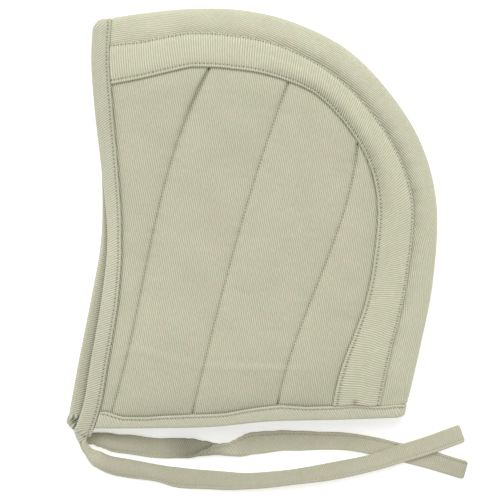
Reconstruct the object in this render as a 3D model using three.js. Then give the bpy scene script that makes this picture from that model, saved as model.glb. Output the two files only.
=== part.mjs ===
import * as THREE from 'three';

// Padded arming cap of cotton twill, lying on its side with the face opening to the left.
// Millimetres. X runs from the face edge to the nape, Y from the jaw to the crown, Z up from the surface.
// Every piece is laid on one middle surface: a lower side, a fold over the crown and a puffed upper side.

const { clamp, degToRad, lerp, smoothstep } = THREE.MathUtils;

// Size of the cap without its ties
const capDepth = 253; // face edge to the back of the head
const capHeight = 286; // jaw corner to the crown

// Strips and tapes
const gussetHalf = 18.4; // half of the crown gusset, the part that shows on one side
const bandWidth = 23; // topstitched band over the seam of panel and gusset
const faceBindingWidth = 12.4;
const neckBindingWidth = 9.5;
const tieWidth = 13;
const tieThickness = 2;

// Thickness of the cloth
const edgeCloth = 2.4; // gusset, and panels along their edges
const tapeCloth = 1.2; // turned tape of bands and bindings
const bandCrown = 0.8; // how far the upper band bulges between its two rows of stitches
const padOut = 2.4; // padding of the upper panel, outside
const padIn = 1.2; // padding of the upper panel, inside
const farPadIn = 2; // padding of the lower panel, inside
const gap = 0.3; // clearance between pieces that touch
const foldGap = 0.45; // between the cloth and the binding folded round it
const seamGap = 0.6; // between the edges of panel and gusset, under the band
const padMargin = 0.8; // flat cloth beside a band or binding, before the padding begins

// How the cap lies
const loft = 30; // middle of the upper panel above the surface
const lowestEdge = 8; // what the upper layer would sink to at a corner
const foldHeight = 12; // upper layer above lower layer beside the crown fold
const foldRadius = 7; // depth of the rounded fold in plan
const crownRise = 50; // distance over which the upper side climbs from the fold
const openingRise = 60; // distance over which it climbs from the face and neck edges
const faceShare = 0.5; // share of the loft left at the face edge
const neckShare = 0.42; // share of the loft left at the neck edge
const cornerCut = 3.5; // how far the fold draws back at the brow and the nape
const cornerReach = 70; // run over which strips turn to meet a slanted end
const hemFade = 8; // run over which the fold swells out beside a binding
const seamFade = 14; // run over which padding dies out at the ends of a channel
const cornerStep = 3; // run of flat cloth round the upper end of the padded field
const fullChannel = 30; // a narrower channel takes less padding
const pillowPower = 2.6; // how square the padding is across a channel
const tailShare = 0.78; // width left where the face binding has become a tie
const tailDrop = 1.5; // how far the upper one sinks there

const upward = new THREE.Vector3(0, 0, 1);
const bindingOpening = edgeCloth / 2 + foldGap;
const edgeInset = bindingOpening + tapeCloth; // cut edge of the cloth inside its binding
const farMiddle = edgeInset; // lower layer, so that its bindings rest on the surface
const foldMiddle = farMiddle + foldHeight / 2;
const foldTop = farMiddle + foldHeight;
const farPadOut = farMiddle - edgeCloth / 2;

// Crown outline from brow to nape: places as shares of depth and height, widths as shares of the strips
const crownLine = [
  { x: 0.0698, y: 0.9703, gusset: 0.96, band: 1.12 },
  { x: 0.1987, y: 0.9881, gusset: 1.07, band: 1.03 },
  { x: 0.3329, y: 0.9993, gusset: 0.93, band: 0.97 },
  { x: 0.4671, y: 0.9969, gusset: 0.93, band: 0.97 },
  { x: 0.6013, y: 0.9707, gusset: 0.96, band: 0.87 },
  { x: 0.749, y: 0.9071, gusset: 1.05, band: 0.8 },
  { x: 0.8564, y: 0.8155, gusset: 1.07, band: 0.8 },
  { x: 0.9503, y: 0.6893, gusset: 1.02, band: 0.88 },
  { x: 0.996, y: 0.5442, gusset: 0.93, band: 1.04 },
  { x: 0.9879, y: 0.3537, gusset: 1.04, band: 1.03 },
  { x: 0.953, y: 0.1919, gusset: 1.07, band: 1.09 },
  { x: 0.9087, y: 0.0264, gusset: 1, band: 1.18 },
];

// Face edge from brow to jaw, upper layer and lower layer, with the binding's width as a share
const faceLine = [
  { y: 0.9703, near: 0.0698, far: 0.0698, width: 1.08 },
  { y: 0.8774, near: 0.0658, far: 0.0658, width: 1.08 },
  { y: 0.7584, near: 0.0752, far: 0.0752, width: 1.07 },
  { y: 0.6156, near: 0.094, far: 0.0913, width: 0.97 },
  { y: 0.449, near: 0.1122, far: 0.0921, width: 0.81 },
  { y: 0.3061, near: 0.0961, far: 0.0682, width: 0.97 },
  { y: 0.1633, near: 0.0679, far: 0.0376, width: 1 },
  { y: 0.0562, near: 0.0464, far: 0.0129, width: 0.97 },
  { y: 0, near: 0.0242, far: 0, width: 0.97 },
];

// Neck edge from nape to jaw, which ends where the face edge does
const neckLine = [
  { x: 0.9087, near: 0.0264, far: 0.0264 },
  { x: 0.7356, near: 0.0217, far: 0.0262 },
  { x: 0.5342, near: 0.0169, far: 0.0218 },
  { x: 0.4, near: 0.005, far: 0.0105 },
  { x: 0.2255, near: 0.0014, far: 0.006 },
];

// Quilting seams of a panel: where they leave the neck binding and meet the band, as shares of the neck
// edge and of the crown outline, and how far they bow aft at one and two thirds, as shares of the depth
const quiltSeams = [
  { neck: 0.049, crown: 0.182, lowBow: -0.011, highBow: -0.03 },
  { neck: 0.415, crown: 0.336, lowBow: -0.012, highBow: -0.015 },
  { neck: 0.777, crown: 0.502, lowBow: 0, highBow: 0.013 },
];
const fieldCorner = 0.572; // share of the crown outline where the top of the padded field ends

// Where the face binding runs on past a jaw corner: its run, its turn towards the nape in degrees, and
// how much of its narrowing is on the inner side
const jawTails = {
  near: { run: 3, turn: 25, pulledIn: 1 },
  far: { run: 0.6, turn: 60, pulledIn: 0 },
};

// Route of each tie from the binding to its cut end: middle of the tape
const nearTieRoute = [
  [11, -8.6, 11.2], [12.8, -13.6, 8.4], [18, -19.3, 4.6], [27.5, -24.4, 2], [39.5, -26.9, 1],
  [57.1, -29.9, 1], [75.5, -32.9, 1], [99.3, -35, 1], [118.3, -35.6, 1], [138.7, -34.6, 1],
  [159.1, -32.3, 1], [182.9, -28.5, 1.4], [208.1, -22.7, 3.4], [227.1, -17.6, 3.5], [247.5, -11.5, 3.5],
  [259.5, -7.5, 2], [270.3, -3.7, 1],
];
const farTieRoute = [
  [11.3, -7.4, 1], [13.5, -9.2, 1], [18, -8.9, 1], [26.5, -8, 1], [36.7, -9.8, 1],
  [47.6, -11.5, 1], [60.5, -13.9, 1], [77.5, -13.9, 1], [91.1, -12.2, 1], [104.7, -11.6, 1],
  [118.3, -11.8, 1], [131.9, -11.2, 1], [152.3, -8.6, 1], [172.7, -8.2, 1], [189.7, -8.8, 1],
  [208.1, -11.8, 1], [227.1, -16.9, 1], [247.5, -22.4, 1], [272.7, -29.2, 1],
];

// How a tie lies along its length: curl and roll in degrees, and the share of the tape that a crease has
// turned over
const nearTieSections = [
  { along: 0, curl: 150, roll: 0, turned: 0 },
  { along: 0.12, curl: 110, roll: 0, turned: 0 },
  { along: 0.25, curl: 30, roll: 0, turned: 0 },
  { along: 0.45, curl: 10, roll: 25, turned: 0 },
  { along: 0.6, curl: 10, roll: 38, turned: 0 },
  { along: 0.75, curl: 0, roll: 12, turned: 0 },
  { along: 0.85, curl: 0, roll: 0, turned: 0 },
  { along: 1, curl: 0, roll: 0, turned: 0 },
];
const farTieSections = [
  { along: 0, curl: 150, roll: 0, turned: 0 },
  { along: 0.12, curl: 90, roll: 0, turned: 0 },
  { along: 0.24, curl: 0, roll: 0, turned: 0 },
  { along: 0.27, curl: 0, roll: 0, turned: 0 },
  { along: 0.33, curl: 0, roll: 0, turned: 0.22 },
  { along: 0.41, curl: 0, roll: 0, turned: 0.5 },
  { along: 0.48, curl: 0, roll: 0, turned: 0.82 },
  { along: 0.54, curl: 0, roll: 0, turned: 1 },
  { along: 1, curl: 0, roll: 0, turned: 1 },
];
const creaseRun = 6.3; // width of tape taken up by the crease

function curveThrough(rows) {
  const points = rows.map((row) => new THREE.Vector3(row.x * capDepth, row.y * capHeight, 0));
  const curve = new THREE.CatmullRomCurve3(points, false, 'centripetal');
  curve.arcLengthDivisions = 600;
  return curve;
}

function tangentOf(curve, distance) {
  return curve.getTangentAt(clamp(distance / curve.getLength(), 0, 1));
}

// Point at a distance along a curve, which runs on straight past both of its ends
function pointOf(curve, distance) {
  const share = clamp(distance / curve.getLength(), 0, 1);
  const overrun = distance - share * curve.getLength();
  return curve.getPointAt(share).addScaledVector(curve.getTangentAt(share), overrun);
}

// Distance in plan from a line of samples, negative on its left
function depthFrom(samples, place) {
  const flatPlace = new THREE.Vector3(place.x, place.y, 0);
  const nearest = new THREE.Vector3();
  const segment = new THREE.Line3();
  let best = Infinity;
  let depth = Infinity;
  for (let i = 1; i < samples.length; i += 1) {
    segment.set(samples[i - 1], samples[i]);
    segment.closestPointToPoint(flatPlace, true, nearest);
    const distance = nearest.distanceTo(flatPlace);
    if (distance < best) {
      best = distance;
      const onLeft = segment.delta(nearest).cross(flatPlace.clone().sub(samples[i])).z > 0;
      depth = onLeft ? -distance : distance;
    }
  }
  return depth;
}

function makeSide(name) {
  const face = curveThrough(faceLine.map((row) => ({ x: row[name], y: row.y })));
  const neckRows = neckLine.map((row) => ({ x: row.x, y: row[name] }));
  const jaw = faceLine[faceLine.length - 1];
  const neck = curveThrough([...neckRows, { x: jaw[name], y: jaw.y }]);
  return { name, face, neck, faceSamples: face.getSpacedPoints(120), neckSamples: neck.getSpacedPoints(120) };
}

const crown = curveThrough(crownLine);
const crownSamples = crown.getSpacedPoints(240);
const crownLength = crown.getLength();
const browTangent = crown.getTangentAt(0);
const napeTangent = crown.getTangentAt(1);
const near = makeSide('near');
const far = makeSide('far');

// Share in a column of the table that a curve was drawn from, at a distance along it
function shareAlong(curve, rows, column, distance) {
  const place = curve.getUtoTmapping(clamp(distance / curve.getLength(), 0, 1)) * (rows.length - 1);
  const row = Math.min(Math.floor(place), rows.length - 2);
  return lerp(rows[row][column], rows[row + 1][column], place - row);
}

const gussetAt = (along) => gussetHalf * shareAlong(crown, crownLine, 'gusset', along);
const bandEdgeAt = (along) => gussetAt(along) + bandWidth * shareAlong(crown, crownLine, 'band', along);
const seamAt = (along) => (gussetAt(along) + bandEdgeAt(along)) / 2;
const faceWidthAt = (side, down) => faceBindingWidth * shareAlong(side.face, faceLine, 'width', down);
const browWidth = faceWidthAt(near, 0);

// Plan place at a depth inside the face edge, at a distance down from the brow
function fromFace(side, depth, down) {
  const turn = 1 - smoothstep(down, 0, cornerReach);
  const tangent = tangentOf(side.face, down);
  const inward = new THREE.Vector3(-tangent.y, tangent.x, 0).lerp(browTangent, turn).normalize();
  const bend = pointOf(crown, depth).sub(pointOf(crown, 0)).addScaledVector(browTangent, -depth);
  return pointOf(side.face, down).addScaledVector(inward, depth).addScaledVector(bend, turn);
}

// Plan place at a depth inside the neck edge, at a distance from the nape towards the jaw
function fromNeck(side, depth, run) {
  const turn = 1 - smoothstep(run, 0, cornerReach);
  const neckLength = side.neck.getLength();
  const jawTurn = smoothstep(run, neckLength - cornerReach, neckLength - browWidth);
  const tangent = tangentOf(side.neck, run);
  const inward = new THREE.Vector3(tangent.y, -tangent.x, 0);
  inward.lerp(side.face.getTangentAt(1).negate(), jawTurn);
  inward.lerp(napeTangent.clone().negate(), turn).normalize();
  const bend = pointOf(crown, crownLength - depth).sub(pointOf(crown, crownLength));
  bend.addScaledVector(napeTangent, depth);
  return pointOf(side.neck, run).addScaledVector(inward, depth).addScaledVector(bend, turn);
}

// Plan place at an inset from the crown outline, at a distance along it from the brow
function fromCrown(side, along, inset) {
  const tangent = tangentOf(crown, along);
  const place = pointOf(crown, along).addScaledVector(new THREE.Vector3(tangent.y, -tangent.x, 0), inset);
  const fromNape = crownLength - along;
  place.lerp(fromFace(side, along, inset), 1 - smoothstep(along, browWidth + gap, cornerReach));
  place.lerp(fromNeck(side, fromNape, inset), 1 - smoothstep(fromNape, neckBindingWidth + gap, cornerReach));
  return place;
}

function riseFrom(distance, reach, start) {
  const left = 1 - Math.min(distance / reach, 1);
  return lerp(start, 1, 1 - left * left);
}

// Height of the middle surface over a plan place
function heightAt(side, place) {
  if (side === far) {
    return farMiddle;
  }
  const faceRise = riseFrom(-depthFrom(near.faceSamples, place), openingRise, faceShare);
  const neckRise = riseFrom(depthFrom(near.neckSamples, place), openingRise, neckShare);
  const plateau = lerp(lowestEdge, loft, faceRise * neckRise);
  return lerp(foldTop, plateau, riseFrom(Math.max(depthFrom(crownSamples, place), 0), crownRise, 0));
}

function raised(side, place) {
  return new THREE.Vector3(place.x, place.y, heightAt(side, place));
}

// The fold steps in under the bindings, so that their outside follows the crown outline
function foldInset(along) {
  const atBrow = 1 - smoothstep(along, browWidth, browWidth + hemFade);
  const atNape = 1 - smoothstep(crownLength - along, neckBindingWidth, neckBindingWidth + hemFade);
  return edgeCloth / 2 + (foldGap + tapeCloth) * Math.max(atBrow, atNape);
}

// Middle surface round the crown fold: the turn is 90 beside the upper layer, 0 at the outline and -90 below
function onFold(along, turn) {
  const lean = Math.cos(degToRad(turn));
  const browCut = cornerCut * (1 - smoothstep(along, 0, cornerReach / 2));
  const napeCut = cornerCut * (1 - smoothstep(crownLength - along, 0, cornerReach / 2));
  const station = along + (browCut - napeCut) * lean * lean;
  const side = turn < 0 ? far : near;
  const place = fromCrown(side, station, foldInset(along) + foldRadius * (1 - lean));
  place.z = lerp(foldMiddle, heightAt(side, place), Math.abs(Math.sin(degToRad(turn))));
  return place;
}

// Unit normals of a grid of points, from the run of its columns and rows
function gridNormals(grid) {
  const last = grid.length - 1;
  const end = grid[0].length - 1;
  return grid.map((column, i) => column.map((point, j) => {
    const across = grid[Math.min(i + 1, last)][j].clone().sub(grid[Math.max(i - 1, 0)][j]);
    const along = column[Math.min(j + 1, end)].clone().sub(column[Math.max(j - 1, 0)]);
    return along.cross(across).normalize();
  }));
}

// Closed body between two grids of points of the same size
function bodyBetween(outer, inner) {
  const columns = outer.length;
  const rows = outer[0].length;
  const positions = [];
  for (const grid of [outer, inner]) {
    for (const column of grid) {
      for (const point of column) {
        positions.push(point.x, point.y, point.z);
      }
    }
  }
  const innerStart = columns * rows;
  const index = [];
  const node = (i, j) => i * rows + j;
  for (let i = 0; i + 1 < columns; i += 1) {
    for (let j = 0; j + 1 < rows; j += 1) {
      const corners = [node(i, j), node(i + 1, j), node(i + 1, j + 1), node(i, j + 1)];
      const [a, b, c, d] = corners;
      index.push(a, b, c, a, c, d);
      const [e, f, g, h] = corners.map((corner) => corner + innerStart);
      index.push(e, g, f, e, h, g);
    }
  }
  const rim = [];
  for (let i = 0; i + 1 < columns; i += 1) rim.push(node(i, 0));
  for (let j = 0; j + 1 < rows; j += 1) rim.push(node(columns - 1, j));
  for (let i = columns - 1; i > 0; i -= 1) rim.push(node(i, rows - 1));
  for (let j = rows - 1; j > 0; j -= 1) rim.push(node(0, j));
  rim.forEach((p, k) => {
    const q = rim[(k + 1) % rim.length];
    index.push(q, p, p + innerStart, q, p + innerStart, q + innerStart);
  });
  const geometry = new THREE.BufferGeometry();
  geometry.setAttribute('position', new THREE.Float32BufferAttribute(positions, 3));
  if (signedVolume(positions, index) < 0) {
    for (let k = 0; k < index.length; k += 3) {
      [index[k], index[k + 1]] = [index[k + 1], index[k]];
    }
  }
  geometry.setIndex(index);
  geometry.computeVertexNormals();
  return geometry;
}

function signedVolume(positions, index) {
  const corner = (k) => new THREE.Vector3().fromArray(positions, 3 * index[k]);
  let total = 0;
  for (let k = 0; k < index.length; k += 3) {
    total += corner(k).dot(corner(k + 1).cross(corner(k + 2))) / 6;
  }
  return total;
}

// Body laid on a middle surface, from one offset to another along its normals
function layer(grid, facing, outerOffset, innerOffset) {
  const normals = gridNormals(grid);
  const shifted = (offset) => grid.map((column, i) => column.map(
    (point, j) => point.clone().addScaledVector(normals[i][j], facing * offset(i, j)),
  ));
  return bodyBetween(shifted(outerOffset), shifted(innerOffset));
}

// Even steps between two values, both ends included
function steps(from, to, count) {
  return Array.from({ length: count + 1 }, (unused, k) => lerp(from, to, k / count));
}

// Steps from the jaw end of a side edge to the fold, closer together at the jaw and over the strips
function edgeSteps(jawEnd, along, count) {
  const even = steps(jawEnd, bandEdgeAt(along), count);
  const first = even[1] - jawEnd;
  return [jawEnd, jawEnd + first / 3, jawEnd + (2 * first) / 3, ...even.slice(1), seamAt(along), gussetAt(along)];
}

// Crown gusset: one strip from seam to seam over the fold, its ends inside the bindings
function makeGusset() {
  const stations = [
    edgeInset,
    ...steps(browWidth, crownLength - neckBindingWidth, 42),
    crownLength - edgeInset,
  ];
  const columns = [
    (along) => raised(near, fromCrown(near, along, seamAt(along) - seamGap / 2)),
    (along) => raised(near, fromCrown(near, along, gussetAt(along))),
    ...[90, 45, 0, -45, -90].map((turn) => (along) => onFold(along, turn)),
    (along) => raised(far, fromCrown(far, along, gussetAt(along))),
    (along) => raised(far, fromCrown(far, along, seamAt(along) - seamGap / 2)),
  ];
  const grid = columns.map((place) => stations.map(place));
  return layer(grid, 1, () => edgeCloth / 2, () => -edgeCloth / 2);
}

// Band topstitched over a seam, between the face binding and the neck binding
function makeBand(side, facing, crownHeight) {
  const stations = steps(browWidth + gap, crownLength - neckBindingWidth - gap, 42);
  const shares = [1, 0.7, 0.3, 0];
  const grid = shares.map((share) => stations.map(
    (along) => raised(side, fromCrown(side, along, lerp(gussetAt(along), bandEdgeAt(along), share))),
  ));
  const under = edgeCloth / 2 + gap;
  const bulge = (i) => (i > 0 && i < shares.length - 1 ? crownHeight : 0);
  return layer(grid, facing, (i) => under + tapeCloth + bulge(i), () => under);
}

// Value between two limits at which a rising test passes zero
function solve(test, from, to) {
  let low = from;
  let high = to;
  for (let k = 0; k < 40; k += 1) {
    const middle = (low + high) / 2;
    if (test(middle) > 0) {
      high = middle;
    } else {
      low = middle;
    }
  }
  return (low + high) / 2;
}

// Distance along the neck edge at which the line above it comes within a depth of the face edge
function neckRunAtFace(side, margin, neckDepth) {
  const length = side.neck.getLength();
  const faceDepth = faceWidthAt(side, side.face.getLength()) + margin;
  const closeness = (run) => faceDepth + depthFrom(side.faceSamples, fromNeck(side, neckDepth, run));
  return solve(closeness, length / 2, length);
}

// Curve through zero, a low value at one third, a high value at two thirds and zero
function bowAt(share, low, high) {
  const ends = 13.5 * share * (1 - share);
  return ends * (low * (2 / 3 - share) + high * (share - 1 / 3));
}

// Quilted side panel: padded channels between the seams, and flat cloth under the bindings and the band
function makePanel(side, facing, cells, rowCount, outPadding, inPadding, flatness) {
  const neckDepth = neckBindingWidth + padMargin;
  const fromBinding = (down) => fromFace(side, faceWidthAt(side, down) + padMargin, down);
  const browAlong = browWidth + padMargin;
  const underBand = (along) => bandEdgeAt(along) + padMargin;
  const cornerAlong = fieldCorner * crownLength;
  const jawRun = neckRunAtFace(side, padMargin, neckDepth);
  const faceLength = side.face.getLength();
  const downAt = (depth) => solve(
    (down) => fromNeck(side, depth, jawRun).y - fromBinding(down).y, 0, faceLength,
  );
  const lowerDown = downAt(neckDepth);
  const hemDown = downAt(edgeInset);
  const napeAlong = crownLength - neckDepth;
  const runAt = (share) => lerp(jawRun, underBand(napeAlong), share);

  const bottom = (share) => fromNeck(side, neckDepth, runAt(share));
  const top = (share) => fromCrown(side, share * crownLength, underBand(share * crownLength));
  const left = (share) => fromBinding(lerp(lowerDown, underBand(browAlong), share));
  const backAlong = (share) => lerp(napeAlong, cornerAlong, share);
  const right = (share) => fromCrown(side, backAlong(share), underBand(backAlong(share)));
  const seamRail = (seam) => (share) => {
    const place = bottom(seam.neck).lerp(top(seam.crown), share);
    place.x += capDepth * bowAt(share, seam.lowBow, seam.highBow);
    return place;
  };
  const rails = [left, ...quiltSeams.map(seamRail), right];
  const neckShares = [0, ...quiltSeams.map((seam) => seam.neck), 1];
  const crownShares = [browAlong / crownLength, ...quiltSeams.map((seam) => seam.crown), fieldCorner];

  // Rows of the field, closer together where the padding dies out
  const fieldRows = [0, 0.025, ...steps(0.07, 0.93, rowCount), 0.975, 1];
  const channelPlace = (channel, across, share) => {
    const neckShare = lerp(neckShares[channel], neckShares[channel + 1], across);
    const crownShare = lerp(crownShares[channel], crownShares[channel + 1], across);
    const sides = rails[channel](share).lerp(rails[channel + 1](share), across);
    const ends = bottom(neckShare).lerp(top(crownShare), share);
    const lower = rails[channel](0).lerp(rails[channel + 1](0), across);
    const upper = rails[channel](1).lerp(rails[channel + 1](1), across);
    return sides.add(ends).sub(lower.lerp(upper, share));
  };
  const cutEdge = (along) => fromCrown(side, along, seamAt(along) + seamGap / 2);

  const grid = [];
  const pads = [];
  grid.push([
    fromFace(side, edgeInset, hemDown),
    ...fieldRows.map((share) => fromFace(side, edgeInset, lerp(lowerDown, underBand(browAlong), share))),
    cutEdge(edgeInset),
  ]);
  pads.push(grid[0].map(() => 0));
  for (let channel = 0; channel + 1 < rails.length; channel += 1) {
    const firstCell = channel === 0 ? 0 : 1;
    for (let cell = firstCell; cell <= cells; cell += 1) {
      const across = cell / cells;
      const neckAt = runAt(lerp(neckShares[channel], neckShares[channel + 1], across));
      const crownAt = crownLength * lerp(crownShares[channel], crownShares[channel + 1], across);
      const isCorner = channel + 2 === rails.length && cell === cells;
      const fieldPlaces = fieldRows.map((share) => channelPlace(channel, across, share));
      grid.push([
        fromNeck(side, edgeInset, neckAt),
        ...fieldPlaces,
        cutEdge(isCorner ? crownAt - cornerStep : crownAt),
      ]);
      const pillow = Math.min(1, flatness * (1 - Math.abs(2 * across - 1) ** pillowPower));
      const reach = fieldPlaces[0].distanceTo(fieldPlaces[fieldPlaces.length - 1]);
      pads.push([
        0,
        ...fieldRows.map((share) => {
          const width = rails[channel](share).distanceTo(rails[channel + 1](share));
          const fullness = Math.min(1, width / fullChannel);
          const endRise = riseFrom(reach * Math.min(share, 1 - share), seamFade, 0);
          return pillow * fullness * endRise;
        }),
        0,
      ]);
    }
  }
  grid.push([
    cutEdge(crownLength - edgeInset),
    ...fieldRows.map((share) => cutEdge(backAlong(share) + cornerStep * share ** 8)),
    cutEdge(cornerAlong),
  ]);
  pads.push(grid[0].map(() => 0));
  const surface = grid.map((column) => column.map((place) => raised(side, place)));
  return layer(
    surface,
    facing,
    (i, j) => edgeCloth / 2 + outPadding * pads[i][j],
    (i, j) => -edgeCloth / 2 - inPadding * pads[i][j],
  );
}

// Binding folded over an edge: each station has the cut edge, the stitched edge and how open the fold is
function makeBinding(stations) {
  const grid = [stations.map((station) => station.edge), stations.map((station) => station.inner)];
  const normals = gridNormals(grid);
  const section = (station, k, radius) => {
    const inward = station.inner.clone().sub(station.edge).normalize();
    const turned = (angle) => station.edge.clone()
      .addScaledVector(inward, -radius * Math.sin(degToRad(angle)))
      .addScaledVector(normals[0][k], radius * Math.cos(degToRad(angle)));
    const flat = (sign) => station.inner.clone().addScaledVector(normals[1][k], sign * radius);
    return [flat(1), ...[0, 45, 90, 135, 180].map(turned), flat(-1)];
  };
  const inside = stations.map((station, k) => section(station, k, station.opening));
  const outside = stations.map((station, k) => section(station, k, station.opening + tapeCloth));
  return bodyBetween(outside, inside);
}

// Tail of the face binding past a jaw corner: it turns, closes and narrows towards the tie
function jawTailStation(side, share) {
  const { run, turn, pulledIn } = jawTails[side.name];
  const edge = raised(side, fromFace(side, edgeInset, side.face.getLength()));
  const jawWidth = faceWidthAt(side, side.face.getLength());
  const inner = raised(side, fromFace(side, jawWidth, side.face.getLength()));
  const opening = lerp(bindingOpening, gap, share);
  const height = side === far ? opening + tapeCloth : edge.z - tailDrop;
  const across = edge.clone().sub(inner).applyAxisAngle(upward, degToRad(turn * share));
  inner.addScaledVector(side.face.getTangentAt(1), run * share);
  inner.addScaledVector(across, (1 - tailShare) * pulledIn * share);
  edge.copy(inner).addScaledVector(across, lerp(1, tailShare, share));
  edge.z = lerp(edge.z, height, share);
  inner.z = lerp(inner.z, height, share);
  return { edge, inner, opening };
}

function makeFaceBinding() {
  const sideStations = (side) => edgeSteps(side.face.getLength(), edgeInset, 13).map((down) => ({
    edge: raised(side, fromFace(side, edgeInset, down)),
    inner: raised(side, fromFace(side, faceWidthAt(side, down), down)),
    opening: bindingOpening,
  }));
  const foldStations = [-90, -45, 0, 45, 90].map((turn) => ({
    edge: onFold(edgeInset, turn),
    inner: onFold(browWidth, turn),
    opening: bindingOpening,
  }));
  const tail = (side) => steps(1, 0, 4).slice(0, -1).map((share) => jawTailStation(side, share));
  return makeBinding([
    ...tail(far),
    ...sideStations(far),
    ...foldStations,
    ...sideStations(near).reverse(),
    ...tail(near).reverse(),
  ]);
}

function makeNeckBinding() {
  const sideStations = (side) => {
    const start = neckRunAtFace(side, gap, neckBindingWidth / 2);
    return edgeSteps(start, crownLength - edgeInset, 11).map((run) => ({
      edge: raised(side, fromNeck(side, edgeInset, run)),
      inner: raised(side, fromNeck(side, neckBindingWidth, run)),
      opening: bindingOpening,
    }));
  };
  const foldStations = [90, 45, 0, -45, -90].map((turn) => ({
    edge: onFold(crownLength - edgeInset, turn),
    inner: onFold(crownLength - neckBindingWidth, turn),
    opening: bindingOpening,
  }));
  return makeBinding([...sideStations(near), ...foldStations, ...sideStations(far).reverse()].reverse());
}

// Value of a column of a table at a share of the length
function tableAt(rows, column, share) {
  const next = rows.findIndex((row) => row.along >= share);
  if (next <= 0) {
    return rows[0][column];
  }
  const from = rows[next - 1];
  const to = rows[next];
  const part = (share - from.along) / (to.along - from.along);
  return lerp(from[column], to[column], smoothstep(part, 0, 1));
}

// Places and directions across a tape, from its upper edge in plan to its lower edge
function tapeSection(curl, roll, turned, cells) {
  const bend = creaseRun / tieWidth;
  const crease = 1 + bend / 2 - turned * (1 + bend);
  const angleAt = (share) => {
    const over = clamp((share - crease) / bend + 0.5, 0, 1);
    return Math.PI * (1 - over) - degToRad(roll + curl * (0.5 - share));
  };
  const places = [{ a: 0, b: 0, angle: angleAt(0) }];
  for (let k = 1; k <= cells; k += 1) {
    const angle = angleAt((k - 0.5) / cells);
    const last = places[k - 1];
    places.push({
      a: last.a + (Math.cos(angle) * tieWidth) / cells,
      b: last.b + (Math.sin(angle) * tieWidth) / cells,
      angle: angleAt(k / cells),
    });
  }
  const lowestA = Math.min(...places.map((place) => place.a));
  const lowestB = Math.min(...places.map((place) => place.b));
  return places.map((place) => ({
    a: place.a - lowestA - tieWidth / 2,
    b: place.b - lowestB,
    angle: place.angle,
  }));
}

function makeTie(route, sections, cells, rowCount) {
  const curve = new THREE.CatmullRomCurve3(route.map((point) => new THREE.Vector3(...point)), false, 'centripetal');
  curve.arcLengthDivisions = 600;
  const top = [];
  const under = [];
  for (let k = 0; k <= rowCount; k += 1) {
    const share = k / rowCount;
    const middle = curve.getPointAt(share);
    const tangent = curve.getTangentAt(share);
    const lateral = new THREE.Vector3(-tangent.y, tangent.x, 0).normalize();
    const rise = tangent.clone().cross(lateral).normalize();
    const values = ['curl', 'roll', 'turned'].map((column) => tableAt(sections, column, share));
    const section = tapeSection(...values, cells);
    const centred = lerp((section[0].a + section[cells].a) / 2, 0, clamp(values[2] * 20, 0, 1));
    const side = (sign) => section.map(({ a, b, angle }) => middle.clone()
      .addScaledVector(lateral, a - centred + (sign * tieThickness * Math.sin(angle)) / 2)
      .addScaledVector(rise, b - (sign * tieThickness * Math.cos(angle)) / 2));
    top.push(side(1));
    under.push(side(-1));
  }
  return bodyBetween(top, under);
}

const cloth = {
  panel: new THREE.MeshStandardMaterial({ color: '#c2c0a9', roughness: 0.92, metalness: 0 }),
  strip: new THREE.MeshStandardMaterial({ color: '#c6c6ae', roughness: 0.92, metalness: 0 }),
  binding: new THREE.MeshStandardMaterial({ color: '#c1c1ab', roughness: 0.9, metalness: 0 }),
  tape: new THREE.MeshStandardMaterial({ color: '#b7b5a0', roughness: 0.9, metalness: 0 }),
};

function named(name, geometry, material) {
  const mesh = new THREE.Mesh(geometry, material);
  mesh.name = name;
  return mesh;
}

const armingCap = new THREE.Group();
armingCap.name = 'arming_cap';

const cap = new THREE.Group();
cap.add(
  named('side_panel_near', makePanel(near, -1, 4, 18, padOut, padIn, 1), cloth.panel),
  named('side_panel_far', makePanel(far, 1, 4, 12, farPadOut, farPadIn, 1.25), cloth.panel),
  named('crown_gusset', makeGusset(), cloth.strip),
  named('seam_band_near', makeBand(near, 1, bandCrown), cloth.strip),
  named('seam_band_far', makeBand(far, -1, 0), cloth.strip),
  named('face_binding', makeFaceBinding(), cloth.binding),
  named('neck_binding', makeNeckBinding(), cloth.binding),
);

// The origin is the middle of the cap's footprint on the surface it lies on
const footprint = new THREE.Box3().setFromObject(cap);
const middle = footprint.getCenter(new THREE.Vector3());
cap.position.set(-middle.x, -middle.y, -footprint.min.z);

const ties = new THREE.Group();
ties.add(
  named('tie_near', makeTie(nearTieRoute, nearTieSections, 4, 44), cloth.tape),
  named('tie_far', makeTie(farTieRoute, farTieSections, 8, 44), cloth.tape),
);
ties.position.copy(cap.position);

armingCap.add(cap, ties);

export default armingCap;
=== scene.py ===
import math
import bpy
import numpy as np
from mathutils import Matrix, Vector


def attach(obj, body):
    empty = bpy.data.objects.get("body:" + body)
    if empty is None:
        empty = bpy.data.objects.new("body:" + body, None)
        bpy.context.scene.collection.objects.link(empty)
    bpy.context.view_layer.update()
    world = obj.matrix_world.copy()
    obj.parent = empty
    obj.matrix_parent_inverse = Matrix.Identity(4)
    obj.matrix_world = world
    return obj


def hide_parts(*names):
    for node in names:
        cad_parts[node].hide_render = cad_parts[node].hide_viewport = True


# Padded arming cap of cotton twill, lying on its side with the face opening to the left.
# Shapes are worked out in millimetres from the jaw corner, as its solids are, and placed in metres.
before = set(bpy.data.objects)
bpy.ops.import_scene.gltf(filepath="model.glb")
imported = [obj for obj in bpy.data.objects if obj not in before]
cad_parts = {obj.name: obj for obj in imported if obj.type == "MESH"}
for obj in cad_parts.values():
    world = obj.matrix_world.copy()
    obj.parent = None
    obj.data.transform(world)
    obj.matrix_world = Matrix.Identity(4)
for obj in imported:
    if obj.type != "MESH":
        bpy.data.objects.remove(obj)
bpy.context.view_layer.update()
print("frame loaded:", len(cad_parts), "solids")

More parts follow.
